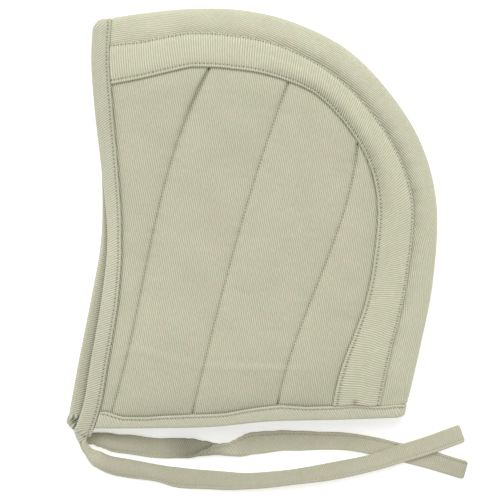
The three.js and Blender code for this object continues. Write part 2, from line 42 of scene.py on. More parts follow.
metres = 0.001
farAway = 50.0  # mm, where no stitches are near
capSize = {
    "depth": 253,  # face edge to the back of the head
    "height": 286,  # jaw corner to the crown
    "jawCorner": (-126.383, -138.319),  # where the tables start, from the middle of the cap
}


def mix(low, high, share):
    return low + (high - low) * share


def smoothstep(value, low, high):
    share = np.clip((np.asarray(value, float) - low) / (high - low), 0, 1)
    return share * share * (3 - 2 * share)


def hill(distance, width):
    return np.exp(-((np.asarray(distance, float) / width) ** 2))


def hillAt(distance, at, width):
    return hill(distance - at, width)


def unit(vectors):
    return vectors / np.maximum(np.linalg.norm(vectors, axis=-1, keepdims=True), 1e-12)


def rounded(distance, radius):
    # rises from 0 to 1 as the section of a round edge does
    return np.sqrt(1 - (1 - np.clip(distance / radius, 0, 1)) ** 2)


def arcLengths(points):
    # how far each place is from the first one, along the first axis of a line or a grid
    return np.cumsum(np.linalg.norm(np.diff(points, axis=0, prepend=points[:1]), axis=-1), 0)


def tableOf(columns, *rows):
    return [dict(zip(columns.split(), row)) for row in rows]


def placed(points):
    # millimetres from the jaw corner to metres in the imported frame
    moved = np.array(points, float)
    moved[..., 0] += capSize["jawCorner"][0]
    moved[..., 1] += capSize["jawCorner"][1]
    moved[..., 2] = np.maximum(moved[..., 2], 0)
    return moved * metres


def addObject(name, data):
    made = bpy.data.objects.new(name, data)
    bpy.context.scene.collection.objects.link(made)
    return made


def smoothMesh(name, points, faces):
    mesh = bpy.data.meshes.new(name)
    mesh.from_pydata(points, [], faces)
    mesh.polygons.foreach_set("use_smooth", np.ones(len(faces), bool))
    return mesh


# Camera straight above the cap, as in the photograph
cameraSetup = {
    "lookAt": (-0.00126, -0.01687),
    "distance": 2.4,  # above the middle of the cloth
    "clothHeight": 0.015,
    "widthInView": 0.34,  # of the surface, across the whole picture
}


def makeCamera():
    cameraData = bpy.data.cameras.new("camera")
    cameraData.sensor_width = 36
    cameraData.lens = cameraData.sensor_width * cameraSetup["distance"] / cameraSetup["widthInView"]
    camera = addObject("camera", cameraData)
    camera.location = (*cameraSetup["lookAt"], cameraSetup["distance"] + cameraSetup["clothHeight"])
    bpy.context.scene.camera = camera


makeCamera()
print("camera in place")


def smoothLine(points, fineness=60):
    # centripetal spline through the points, kept as a close run of places with their lengths
    points = np.array(points, float)
    full = np.vstack([2 * points[:1] - points[1:2], points, 2 * points[-1:] - points[-2:-1]])
    share = np.linspace(0, 1, fineness, endpoint=False)[:, None]
    parts = []
    for k in range(len(points) - 1):
        a, b, c, d = full[k:k + 4]
        before, middle, after = (np.linalg.norm(q - p) ** 0.5 for p, q in ((a, b), (b, c), (c, d)))
        leave = ((b - a) / before - (c - a) / (before + middle) + (c - b) / middle) * middle
        arrive = ((c - b) / middle - (d - b) / (middle + after) + (d - c) / after) * middle
        terms = (b, leave, 3 * (c - b) - 2 * leave - arrive, 2 * (b - c) + leave + arrive)
        parts.append(sum(term * share ** power for power, term in enumerate(terms)))
    run = np.vstack(parts + [points[-1:]])
    lengths = arcLengths(run)
    return {
        "run": run,
        "lengths": lengths,
        "slopes": unit(np.gradient(run, lengths, axis=0)),
        "rows": np.arange(len(run)) / fineness,
        "length": lengths[-1],
    }


def readLine(line, key, distance):
    return np.stack([np.interp(distance, line["lengths"], axis) for axis in line[key].T], -1)


def slopeAt(line, distance):
    return unit(readLine(line, "slopes", distance))


def pointAt(line, distance):
    # the line runs on straight past both of its ends
    distance = np.asarray(distance, float)
    over = distance - np.clip(distance, 0, line["length"])
    return readLine(line, "run", distance) + over[..., None] * slopeAt(line, distance)


def columnAt(line, table, column, distance):
    row = np.interp(distance, line["lengths"], line["rows"])
    return np.interp(row, np.arange(len(table)), [entry[column] for entry in table])


def depthFrom(line, places):
    # distance in plan from the line, negative on its left; worked out in chunks to spare memory
    corners = pointAt(line, np.linspace(0, line["length"], 161))
    start, step = corners[:-1], np.diff(corners, axis=0)
    flat = np.asarray(places, float)[..., :2].reshape(-1, 2)
    depth = np.empty(len(flat))
    for chunk in np.array_split(np.arange(len(flat)), max(1, len(flat) // 4000)):
        reach = flat[chunk][:, None] - start
        share = np.clip((reach * step).sum(-1) / (step ** 2).sum(-1), 0, 1)
        away = np.linalg.norm(reach - share[..., None] * step, axis=-1)
        best = away.argmin(1)
        pick = np.arange(len(chunk))
        near = reach[pick, best]
        onLeft = step[best, 0] * near[:, 1] - step[best, 1] * near[:, 0] > 0
        depth[chunk] = np.where(onLeft, -away[pick, best], away[pick, best])
    return depth.reshape(np.asarray(places).shape[:-1])


# Crown outline from brow to nape: places as shares of depth and height, widths of gusset and band as shares
crownTable = tableOf(
    "x y gusset band",
    (0.0725, 0.9703, 0.96, 1.24),
    (0.1987, 0.9881, 1.07, 1.06),
    (0.3329, 0.9993, 0.95, 1.015),
    (0.4671, 0.9969, 1.04, 0.99),
    (0.6013, 0.9707, 1.05, 0.93),
    (0.749, 0.9071, 1.13, 0.77),
    (0.8564, 0.8155, 1.07, 0.8),
    (0.9503, 0.6893, 1.02, 0.88),
    (0.996, 0.5442, 0.93, 1.04),
    (0.9879, 0.3537, 1.04, 1.03),
    (0.953, 0.1919, 1.07, 1.09),
    (0.9087, 0.0264, 1, 1.38),
)
# Face edge from brow to jaw, upper and lower layer, with the binding's width as a share
faceTable = tableOf(
    "y near far width",
    (0.9703, 0.0725, 0.0725, 1.06),
    (0.8774, 0.0686, 0.0686, 1.06),
    (0.7584, 0.0779, 0.0779, 1.05),
    (0.6156, 0.0962, 0.0938, 0.95),
    (0.449, 0.1122, 0.0921, 0.81),
    (0.3061, 0.0961, 0.0646, 0.97),
    (0.1633, 0.0679, 0.0326, 1),
    (0.0562, 0.0464, 0.0105, 0.97),
    (0, 0.0242, 0, 0.97),
)
# Neck edge from nape to jaw
neckTable = tableOf(
    "x near far",
    (0.9087, 0.0264, 0.0264),
    (0.7356, 0.0217, 0.0262),
    (0.5342, 0.0169, 0.0218),
    (0.4, 0.005, 0.0105),
    (0.2255, 0.0014, 0.006),
)
# Width of the neck binding, by distance aft of the jaw corner
neckWidths = [
    (24, 12.6), (31.5, 10.2), (37, 8.8), (54, 8.4), (67, 9.2), (88, 9.7), (109, 9.4), (132, 10.8),
    (147, 11.5), (163, 10), (182, 10.2), (195, 10.9), (203, 9.8), (214, 9), (232, 10.2),
]
strips = {
    "gussetHalf": 18.4,
    "bandWidth": 23,
    "faceWidth": 12.4,
    "neckWidth": 9.5,
    "edgeCloth": 2.4,  # gusset, and panels along their edges
    "tapeCloth": 1.2,  # turned tape of bands and bindings
    "foldGap": 0.45,  # between the cloth and the binding folded round it
    "gap": 0.3,
    "seamGap": 0.6,
}
lie = {
    "loft": 30,  # middle of the upper panel above the surface
    "lowestEdge": 8,
    "foldHeight": 12,
    "foldRadius": 4,
    "crownRise": 50,
    "openingRise": 60,
    "faceShare": 0.5,
    "neckShare": 0.42,
    "browCut": 3.5,
    "napeCut": 1.2,
    "cornerReach": 70,
    "hemFade": 1.6,
}
bindingOpening = strips["edgeCloth"] / 2 + strips["foldGap"]
edgeInset = bindingOpening + strips["tapeCloth"]
farMiddle = edgeInset  # the lower layer's binding lies on the surface
foldMiddle = farMiddle + lie["foldHeight"] / 2
foldTop = farMiddle + lie["foldHeight"]


def capLine(rows):
    return smoothLine([(x * capSize["depth"], y * capSize["height"]) for x, y in rows])


def makeSide(name):
    jaw = (faceTable[-1][name], faceTable[-1]["y"])
    return {
        "name": name,
        "face": capLine([(row[name], row["y"]) for row in faceTable]),
        "neck": capLine([*((row["x"], row[name]) for row in neckTable), jaw]),
    }


crown = capLine([(row["x"], row["y"]) for row in crownTable])
crownLength = crown["length"]
browSlope = slopeAt(crown, 0)
napeSlope = slopeAt(crown, crownLength)
nearSide = makeSide("near")
farSide = makeSide("far")


def gussetAt(along):
    return strips["gussetHalf"] * columnAt(crown, crownTable, "gusset", along)


def bandEdgeAt(along):
    return gussetAt(along) + strips["bandWidth"] * columnAt(crown, crownTable, "band", along)


def seamAt(along):
    return (gussetAt(along) + bandEdgeAt(along)) / 2


def faceWidthAt(side, down):
    return strips["faceWidth"] * columnAt(side["face"], faceTable, "width", down)


def neckWidthAt(side, run):
    aft, widths = zip(*neckWidths)
    return np.interp(pointAt(side["neck"], run)[..., 0], aft, widths)


browWidth = float(faceWidthAt(nearSide, 0))


def fromFace(side, depth, down):
    # place in plan at a depth inside the face edge, at a distance down from the brow
    depth, down = np.broadcast_arrays(np.asarray(depth, float), np.asarray(down, float))
    turn = (1 - smoothstep(down, 0, lie["cornerReach"]))[..., None]
    slope = slopeAt(side["face"], down)
    inward = unit(mix(np.stack([-slope[..., 1], slope[..., 0]], -1), browSlope, turn))
    bend = pointAt(crown, depth) - pointAt(crown, 0) - browSlope * depth[..., None]
    return pointAt(side["face"], down) + inward * depth[..., None] + bend * turn


def fromNeck(side, depth, run):
    # place in plan at a depth inside the neck edge, at a distance from the nape towards the jaw
    depth, run = np.broadcast_arrays(np.asarray(depth, float), np.asarray(run, float))
    neckLength = side["neck"]["length"]
    turn = (1 - smoothstep(run, 0, lie["cornerReach"]))[..., None]
    jawTurn = smoothstep(run, neckLength - lie["cornerReach"], neckLength - browWidth)[..., None]
    slope = slopeAt(side["neck"], run)
    jawSlope = slopeAt(side["face"], side["face"]["length"])
    inward = mix(np.stack([slope[..., 1], -slope[..., 0]], -1), -jawSlope, jawTurn)
    inward = unit(mix(inward, -napeSlope, turn))
    bend = pointAt(crown, crownLength - depth) - pointAt(crown, crownLength) + napeSlope * depth[..., None]
    return pointAt(side["neck"], run) + inward * depth[..., None] + bend * turn


def fromCrown(side, along, inset):
    # place in plan at an inset from the crown outline, at a distance along it from the brow
    along, inset = np.broadcast_arrays(np.asarray(along, float), np.asarray(inset, float))
    slope = slopeAt(crown, along)
    place = pointAt(crown, along) + np.stack([slope[..., 1], -slope[..., 0]], -1) * inset[..., None]
    fromNape = crownLength - along
    atBrow = 1 - smoothstep(along, browWidth + strips["gap"], lie["cornerReach"])
    atNape = 1 - smoothstep(fromNape, strips["neckWidth"] + strips["gap"], lie["cornerReach"])
    place = mix(place, fromFace(side, along, inset), atBrow[..., None])
    return mix(place, fromNeck(side, fromNape, inset), atNape[..., None])


def riseFrom(distance, reach, start):
    return mix(start, 1, 1 - (1 - np.minimum(distance / reach, 1)) ** 2)


def heightAt(side, place):
    # height of the middle surface over a place in plan
    if side is farSide:
        return np.full(place.shape[:-1], farMiddle)
    faceRise = riseFrom(-depthFrom(nearSide["face"], place), lie["openingRise"], lie["faceShare"])
    neckRise = riseFrom(depthFrom(nearSide["neck"], place), lie["openingRise"], lie["neckShare"])
    plateau = mix(lie["lowestEdge"], lie["loft"], faceRise * neckRise)
    return mix(foldTop, plateau, riseFrom(np.maximum(depthFrom(crown, place), 0), lie["crownRise"], 0))


def raised(side, place):
    return np.concatenate([place[..., :2], heightAt(side, place)[..., None]], -1)


def foldInset(along):
    # the fold steps in under the bindings
    atBrow = 1 - smoothstep(along, browWidth, browWidth + lie["hemFade"])
    neckWidth = strips["neckWidth"]
    atNape = 1 - smoothstep(crownLength - along, neckWidth, neckWidth + lie["hemFade"])
    return strips["edgeCloth"] / 2 + (strips["foldGap"] + strips["tapeCloth"]) * np.maximum(atBrow, atNape)


def onFold(along, turn):
    # middle surface round the crown fold: 90 beside the upper layer, 0 at the outline, -90 below
    along, turn = np.broadcast_arrays(np.asarray(along, float), np.asarray(turn, float))
    lean = np.cos(np.radians(turn))
    browCut = lie["browCut"] * (1 - smoothstep(along, 0, browWidth))
    napeCut = lie["napeCut"] * (1 - smoothstep(crownLength - along, 0, strips["neckWidth"]))
    station = along + (browCut - napeCut) * lean * lean
    inset = foldInset(along) + lie["foldRadius"] * (1 - lean)
    upper = raised(nearSide, fromCrown(nearSide, station, inset))
    lower = raised(farSide, fromCrown(farSide, station, inset))
    place = np.where((turn < 0)[..., None], lower, upper)
    place[..., 2] = mix(foldMiddle, place[..., 2], np.abs(np.sin(np.radians(turn))))
    return place


def gridNormals(grid):
    across = np.gradient(grid, axis=0)
    along = np.gradient(grid, axis=1)
    return unit(np.cross(along, across))


def softNoise(x, y, size, seed):
    # seeded random hills about one size apart, from -1 to 1, that come again after 97 of them
    lattice = np.random.default_rng(seed).uniform(-1, 1, (97, 97))
    u, v = np.broadcast_arrays(np.asarray(x, float) / size, np.asarray(y, float) / size)
    i, j = np.floor(u).astype(int), np.floor(v).astype(int)
    s, t = smoothstep(u - i, 0, 1), smoothstep(v - j, 0, 1)
    corner = lambda di, dj: lattice[(i + di) % 97, (j + dj) % 97]
    return mix(mix(corner(0, 0), corner(1, 0), s), mix(corner(0, 1), corner(1, 1), s), t)


def makeBody(name, outer, inner, weave, stitch, crease):
    # closed body between two grids; weave and stitch are its two maps, one value for each place of a grid,
    # and crease is painted shading: how much painted shade darkens the cloth there, from 0 to 1, and painted
    # light below 0
    columns, rows = outer.shape[:2]
    count = columns * rows
    points = placed(np.concatenate([outer.reshape(-1, 3), inner.reshape(-1, 3)]))
    index = np.arange(count).reshape(columns, rows)
    corners = [index[:-1, :-1], index[1:, :-1], index[1:, 1:], index[:-1, 1:]]
    quads = np.stack(corners, -1).reshape(-1, 4)
    rim = np.concatenate([index[:-1, 0], index[-1, :-1], index[:0:-1, -1], index[0, :0:-1]])
    after = np.roll(rim, -1)
    wall = np.stack([after, rim, rim + count, after + count], -1)
    faces = np.vstack([quads, quads[:, ::-1] + count, wall])
    a, b, c, d = (points[faces[:, k]] for k in range(4))
    volume = (a * np.cross(b, c)).sum() + (a * np.cross(c, d)).sum()
    if volume < 0:
        faces = faces[:, ::-1]
    mesh = smoothMesh(name, points, faces)
    for title, values in (("weave", weave), ("stitch", stitch)):
        layer = mesh.uv_layers.new(name=title)
        both = np.tile(values.reshape(-1, 2), (2, 1))
        layer.uv.foreach_set("vector", both[faces.ravel()].astype(np.float32).ravel())
    # the crease attribute carries painted shade, and painted light where it is below 0
    soiled = mesh.attributes.new(name="crease", type="FLOAT", domain="POINT")
    values = np.tile(np.broadcast_to(crease, (columns, rows)).ravel(), 2)
    soiled.data.foreach_set("value", values.astype(np.float32))
    mesh.validate()
    return addObject(name, mesh)


def weaveMap(alongRibs, acrossRibs):
    return np.stack(np.broadcast_arrays(alongRibs, acrossRibs), -1) * metres


def stitchMap(phase, away):
    # counts the stitches of the nearest row, and gives the distance from it
    return np.stack(np.broadcast_arrays(phase, np.abs(away) * metres), -1)


def finishPiece(piece, material, slot, *nodes):
    piece.data.materials.append(material)
    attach(piece, "root")
    if nodes:
        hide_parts(*nodes)
    return piece


def declareSheet(piece, width, length, held, restsOn, *stitches):
    print(f"{piece.name}: {width:.1f} by {length:.0f} mm")


# Cotton twill: the weave map runs along the ribs in its first value and across them in its second
twillLook = {
    "thread": 0.75,  # mm from one crossing thread to the next
    "threadShare": 0.22,  # how much of the relief is threads, the rest being ribs
    "waver": 0.7,  # how far the ribs stray, as radians of their wave
    "drift": 2.5,  # the same over a longer run
    "relief": 0.15,  # mm from rib to valley
    "fuzz": 0.35,  # as a share of the relief
    "holeDepth": 2.5,  # times the relief
    "valleyShade": 0.6,
    "patches": (0.55, 1.45),  # how plain the ribs are, from place to place
    "streak": 0.16,  # ribs that are broken into lighter and darker dashes
    "dashes": (0.3, 1.1, 1),  # dashes to the mm, along and across the ribs
    "sheen": 0.12,
    "roughness": 0.92,
    "specular": 0.25,
    "mottle": 0.065,
    "grain": 0.07,
    "warmer": (1.07, 0.97, 1),
    "cooler": (0.945, 1.025, 0.96),
    "hole": (0.5, 0.36),  # half length and half width of the dimple at a needle hole, mm
    "holeSpread": (0.2, 1.5),  # how unlike the holes are
    "holeShade": 0.45,
    # painted shade where the crease attribute is above 0, painted light below it
    "creaseShade": 0.45,
    "paintedCreaseRibShade": 2.2,  # how much deeper the ribs look there, as painted shade
    "pitch": 2.7,  # stitch length, mm
}


def addNode(tree, kind, **values):
    node = tree.nodes.new(kind)
    for key, value in values.items():
        setattr(node, key, value)
    return node


def feed(tree, socket, value):
    if isinstance(value, bpy.types.NodeSocket):
        tree.links.new(value, socket)
    else:
        socket.default_value = value


def mathNode(tree, operation, *inputs):
    node = addNode(tree, "ShaderNodeMath", operation=operation)
    for socket, value in zip(node.inputs, inputs):
        feed(tree, socket, value)
    return node.outputs[0]


def product(tree, *factors):
    total = factors[0]
    for factor in factors[1:]:
        total = mathNode(tree, "MULTIPLY", total, factor)
    return total


def between(tree, value, low, high):
    # a value from 0 to 1 as one from low to high
    return mathNode(tree, "MULTIPLY_ADD", value, high - low, low)


def around(tree, value, spread):
    # a value from 0 to 1 as a factor close to 1
    return between(tree, value, 1 - spread, 1 + spread)


def noiseNode(tree, vector, scale, detail=2.0):
    node = addNode(tree, "ShaderNodeTexNoise")
    node.inputs["Scale"].default_value = scale
    node.inputs["Detail"].default_value = detail
    tree.links.new(vector, node.inputs["Vector"])
    return node.outputs["Fac"]


def mapNode(tree, vector, scale):
    node = addNode(tree, "ShaderNodeMapping")
    node.inputs["Scale"].default_value = scale
    tree.links.new(vector, node.inputs["Vector"])
    return node.outputs[0]


def axesOf(tree, vector):
    node = addNode(tree, "ShaderNodeSeparateXYZ")
    tree.links.new(vector, node.inputs[0])
    return node.outputs[0], node.outputs[1]


def holeMask(tree, pitch):
    # 1 at a needle hole
    phase, away = axesOf(tree, addNode(tree, "ShaderNodeUVMap", uv_map="stitch").outputs[0])
    halfLong, halfWide = twillLook["hole"]
    lengthwise = product(tree, mathNode(tree, "PINGPONG", phase, 0.5), pitch / halfLong)
    crosswise = product(tree, away, 1 / (metres * halfWide))
    square = mathNode(tree, "MULTIPLY_ADD", crosswise, crosswise, product(tree, lengthwise, lengthwise))
    return mathNode(tree, "EXPONENT", product(tree, square, -1.0))


def newMaterial(name):
    material = bpy.data.materials.new(name)
    material.use_nodes = True
    return material, material.node_tree, material.node_tree.nodes["Principled BSDF"]


def finishShader(tree, shader, colour, shade, height, relief, roughness, specular):
    # a colour times a shade, and a bump whose relief is in metres
    tint = addNode(tree, "ShaderNodeVectorMath", operation="SCALE")
    feed(tree, tint.inputs[0], colour)
    feed(tree, tint.inputs["Scale"], shade)
    feed(tree, shader.inputs["Base Color"], tint.outputs[0])
    bump = addNode(tree, "ShaderNodeBump")
    bump.inputs["Distance"].default_value = relief
    feed(tree, bump.inputs["Height"], height)
    feed(tree, shader.inputs["Normal"], bump.outputs[0])
    shader.inputs["Roughness"].default_value = roughness
    shader.inputs["Specular IOR Level"].default_value = specular


def twill(name, colour, ribPitch, pitch=twillLook["pitch"], contrast=1.0, holes=1.0):
    material, tree, shader = newMaterial(name)
    look = twillLook
    weave = addNode(tree, "ShaderNodeUVMap", uv_map="weave").outputs[0]
    flat = mapNode(tree, weave, (1000, 1000, 1000))  # a unit of the pattern is a millimetre
    alongRibs, acrossRibs = axesOf(tree, flat)
    waver = between(tree, noiseNode(tree, flat, 0.2, 0.0), -look["waver"], look["waver"])
    drift = between(tree, noiseNode(tree, flat, 0.035, 0.0), -look["drift"], look["drift"])
    stray = mathNode(tree, "ADD", waver, drift)
    ribPhase = mathNode(tree, "MULTIPLY_ADD", acrossRibs, math.tau / ribPitch, stray)
    rib = between(tree, mathNode(tree, "SINE", ribPhase), 0.5, 1)
    threadPhase = mathNode(tree, "MULTIPLY_ADD", alongRibs, math.tau / look["thread"], ribPhase)
    thread = between(tree, mathNode(tree, "SINE", threadPhase), 0.5, 1)
    threadShare = look["threadShare"]
    ribs = mathNode(tree, "MULTIPLY_ADD", thread, threadShare, product(tree, rib, 1 - threadShare))
    fuzz = noiseNode(tree, flat, 3.2, 3.0)
    unlike = between(tree, noiseNode(tree, flat, 0.35), *look["holeSpread"])
    hole = product(tree, holeMask(tree, pitch), unlike, holes)
    height = mathNode(tree, "MULTIPLY_ADD", fuzz, look["fuzz"], ribs)
    height = mathNode(tree, "MULTIPLY_ADD", hole, -look["holeDepth"], height)

    valleyShade = 1 - (1 - look["valleyShade"]) * contrast
    # painted shade from the crease attribute: darker cloth and deeper-looking ribs, and lighter cloth where
    # it is below 0
    crease = addNode(tree, "ShaderNodeAttribute", attribute_name="crease").outputs["Fac"]
    creased = mathNode(tree, "MAXIMUM", crease, 0.0)
    patches = between(tree, noiseNode(tree, flat, 0.09), *look["patches"])
    depth = mathNode(tree, "MULTIPLY_ADD", creased, look["paintedCreaseRibShade"] * contrast, patches)
    ribShade = product(tree, mathNode(tree, "SUBTRACT", ribs, 0.5), depth)
    ribShade = mathNode(tree, "MULTIPLY_ADD", ribShade, 1 - valleyShade, (1 + valleyShade) / 2)
    shade = product(
        tree,
        ribShade,
        around(tree, noiseNode(tree, mapNode(tree, flat, look["dashes"]), 1.0), look["streak"]),
        around(tree, noiseNode(tree, flat, 0.045), look["mottle"]),
        around(tree, fuzz, look["grain"]),
        between(tree, hole, 1, look["holeShade"]),
        between(tree, crease, 1, look["creaseShade"]),
    )
    tone = addNode(tree, "ShaderNodeMix", data_type="RGBA")
    tree.links.new(noiseNode(tree, flat, 0.11), tone.inputs["Factor"])
    for socket, tilt in (("A", "warmer"), ("B", "cooler")):
        tone.inputs[socket].default_value = (*(part * share for part, share in zip(colour, look[tilt])), 1)
    finishShader(
        tree, shader, tone.outputs["Result"], shade, height,
        look["relief"] * metres, look["roughness"], look["specular"])
    shader.inputs["Sheen Weight"].default_value = look["sheen"]
    shader.inputs["Sheen Roughness"].default_value = 0.6
    return material


def threadMaterial(name, colour):
    material, tree, shader = newMaterial(name)
    place = addNode(tree, "ShaderNodeTexCoord").outputs["Object"]
    speckle = around(tree, noiseNode(tree, place, 900), 0.15)
    finishShader(tree, shader, colour, speckle, noiseNode(tree, place, 4000), 0.00008, 0.7, 0.3)
    return material


# In each: colour, rib pitch, stitch length, contrast of the ribs and strength of the needle holes
panelTwill = twill("panelTwill", (0.70, 0.695, 0.52), 1.45, 2.3, 0.95, 0.8)
gussetTwill = twill("gussetTwill", (0.76, 0.765, 0.57), 1.4)
bandTwill = twill("bandTwill", (0.77, 0.775, 0.575), 1.6)
bindingTwill = twill("bindingTwill", (0.73, 0.73, 0.56), 1.62, contrast=1.15)
hemTwill = twill("hemTwill", (0.725, 0.72, 0.555), 1.62, contrast=0.75)
tieTwill = twill("tieTwill", (0.66, 0.645, 0.49), 1.58, 2.6, 0.5, 0.35)
sewingThread = threadMaterial("sewingThread", (0.6, 0.585, 0.455))
print("materials made")

# Stitches: one lies as a short sunk lens of thread, and rows of them are stamped along a line
stitchLook = {
    "share": 0.62,  # of the stitch length that shows between two needle holes
    "width": 0.5,
    "height": 0.34,
    "sunk": 0.05,
    "dip": 0.55,  # how far its ends go down, as a share of its height
    "stray": 0.06,  # of the stitch length
}


def stitchTemplate():
    bpy.ops.object.select_all(action="DESELECT")
    bpy.ops.mesh.primitive_uv_sphere_add(segments=6, ring_count=5, radius=0.5)
    model = bpy.context.object
    model.name = "stitch_model"
    bpy.ops.object.mode_set(mode="EDIT")
    bpy.ops.mesh.select_all(action="SELECT")
    bpy.ops.transform.resize(value=(stitchLook["height"], stitchLook["width"], 1))
    bpy.ops.object.mode_set(mode="OBJECT")
    points = np.array([vertex.co[:] for vertex in model.data.vertices])
    faces = sorted(list(face.vertices) for face in model.data.polygons)  # in the same order each run
    bpy.data.objects.remove(model)
    return points, faces


stitchPoints, stitchFaces = stitchTemplate()


def stitchRow(points, normals, pitch, seed):
    # places of all the vertices of a row of stitches along a line, millimetres
    lengths = arcLengths(points)
    count = int(lengths[-1] / pitch)
    stray = np.random.default_rng(seed).uniform(-stitchLook["stray"], stitchLook["stray"], count)
    centres = (np.arange(count) + 0.5) * pitch + stray * pitch
    read = lambda values, where: np.stack([np.interp(where, lengths, axis) for axis in values.T], -1)
    half = pitch * stitchLook["share"] / 2
    run = read(points, centres + half) - read(points, centres - half)
    up = unit(read(normals, centres))
    sideways = unit(np.cross(up, run))
    high, wide, long = (stitchPoints[None, :, k:k + 1] for k in range(3))
    dip = (2 * long) ** 2 * stitchLook["height"] * stitchLook["dip"]
    return (
        read(points, centres)[:, None]
        + long * run[:, None]
        + wide * sideways[:, None]
        + (high - dip + stitchLook["sunk"]) * up[:, None]
    ).reshape(-1, 3)


def makeStitches(name, rows, slot):
    # rows is a list of (points, normals, pitch)
    points = np.vstack([stitchRow(*row, seed) for seed, row in enumerate(rows)])
    starts = range(0, len(points), len(stitchPoints))
    faces = [[corner + start for corner in face] for start in starts for face in stitchFaces]
    piece = addObject(name, smoothMesh(name, placed(points), faces))
    return finishPiece(piece, sewingThread, slot)


def bothFaces(outer, inner, outward, row, part, pitch):
    # a row of stitches that shows on both faces of a piece
    return [(outer[row, part], outward[row, part], pitch), (inner[row, part], -outward[row, part], pitch)]


# Ties: routes as laid on the surface, the same points as the solids. The sections say how a tie lies: curl
# and roll in degrees, the share of the tape that a crease has turned over, the share of its width that shows,
# and how far it lies to the left of its route. Painted shade goes by share of its length; below 0 the tape is
# paler, to match the binding's tone.
tape = {
    "width": 13,
    "thickness": 2,
    "creaseRun": 6.3,
    "cells": 36,
    "step": 1,  # between sections along the tape
    "rowInset": 2.1,  # stitches from the closed edge
    "edgeRound": 0.9,
    "cornerRound": 2,  # at the free end
    "tuckRun": 5,
    "endRun": 1.2,  # where both ends thin out
    "endShare": 0.35,
    "sewn": ((0.3, 0.45), (0.1, 1.5)),  # how far the stitches pull the tape in, and how wide
    "plump": 0.1,
    "plumpSize": 9,
    "sewnPart": (5, -3),  # sections that have stitches
    "pitch": 2.6,
    "ribLean": 0.65,
    "paintedRowShade": 0.35,
}
sectionColumns = "along curl roll turned width aside"
nearTie = {
    "route": [
        (11, -8.6, 11.2), (12.8, -13.6, 8.4), (18, -19.3, 4.6), (27.5, -24.4, 2), (39.5, -26.9, 1),
        (57.1, -29.9, 1), (75.5, -32.9, 1), (99.3, -35, 1), (118.3, -35.6, 1), (138.7, -34.6, 1),
        (159.1, -32.3, 1), (182.9, -28.5, 1.4), (208.1, -22.7, 3.4), (227.1, -17.6, 3.5),
        (247.5, -11.5, 3.5), (259.5, -7.5, 2), (270.3, -3.7, 1),
    ],
    "sections": tableOf(
        sectionColumns,
        (0, 40, 0, 0, 0.38, 0), (0.03, 60, 0, 0, 0.46, 0.3), (0.07, 110, 0, 0, 0.94, 0),
        (0.13, 105, 0, 0, 1.08, -0.6), (0.22, 60, 5, 0, 0.93, -0.4), (0.28, 20, 0, 0, 1.08, -1.2),
        (0.36, 10, 5, 0, 1, -0.8), (0.46, 10, 25, 0, 0.92, -1), (0.56, 10, 36, 0, 0.96, -0.8),
        (0.66, 10, 25, 0, 1, -0.8), (0.75, 0, 12, 0, 0.9, -1.2), (0.85, 0, 0, 0, 0.96, -0.4),
        (1, 0, 0, 0, 0.98, 0),
    ),
    "paintedShading": [(0, -0.24), (0.04, -0.16), (0.1, 0.22), (0.3, 0.28), (0.6, 0.28), (0.8, 0.12), (1, 0.06)],
}
farTie = {
    "route": [
        (11.3, -7.4, 1), (13.5, -9.2, 1), (18, -8.9, 1), (26.5, -8, 1), (36.7, -9.8, 1),
        (47.6, -11.5, 1), (60.5, -13.9, 1), (77.5, -13.9, 1), (91.1, -12.2, 1), (104.7, -11.6, 1),
        (118.3, -11.8, 1), (131.9, -11.2, 1), (152.3, -8.6, 1), (172.7, -8.2, 1), (189.7, -8.8, 1),
        (208.1, -11.8, 1), (227.1, -16.9, 1), (247.5, -22.4, 1), (272.7, -29.2, 1),
    ],
    "sections": tableOf(
        sectionColumns,
        (0, 60, 0, 0, 0.36, 1), (0.025, 90, 0, 0, 0.63, 1.6), (0.04, 110, 0, 0, 0.82, 0.2),
        (0.055, 120, 0, 0, 0.94, -0.9), (0.08, 115, 0, 0, 1.06, -1.5), (0.13, 80, 0, 0, 1.1, -0.6),
        (0.2, 20, 0, 0, 1.06, 0), (0.225, 0, -4, 0, 1.09, 0.1), (0.254, 0, -12, 0.12, 1.1, 0.35),
        (0.285, 0, -14, 0.24, 1.17, 1.1), (0.316, 0, -14, 0.38, 1.18, 1.4), (0.347, 0, -6, 0.5, 1.25, 2.1),
        (0.377, 0, 0, 0.6, 1.12, 0.6), (0.393, 0, 0, 0.7, 1.13, 0.5), (0.408, 0, 0, 0.8, 1.15, 0.4),
        (0.424, 0, 0, 0.88, 1.17, 0.6), (0.44, 0, 0, 0.96, 1.18, 0.8), (0.47, 0, 0, 1, 1.17, 0.9),
        (0.505, 0, 0, 1, 1.1, 0.5), (0.56, 0, 0, 1, 1.06, -0.7), (0.62, 0, 0, 1, 0.95, -0.8),
        (0.7, 0, 0, 1, 0.93, -0.6), (0.9, 0, 0, 1, 0.98, 0.6), (1, 0, 0, 1, 0.98, 0),
    ),
    "paintedShading": [
        (0, 0.4), (0.06, 0.1), (0.2, 0.2), (0.27, 0.8), (0.33, 0.6), (0.38, 0.05), (0.8, 0.05), (1, 0.3),
    ],
}


def sectionValue(sections, column, shares):
    # eased from row to row
    stops = np.array([row["along"] for row in sections])
    values = np.array([row[column] for row in sections], float)
    row = np.clip(np.searchsorted(stops, shares) - 1, 0, len(stops) - 2)
    share = (shares - stops[row]) / (stops[row + 1] - stops[row])
    return mix(values[row], values[row + 1], smoothstep(share, 0, 1))


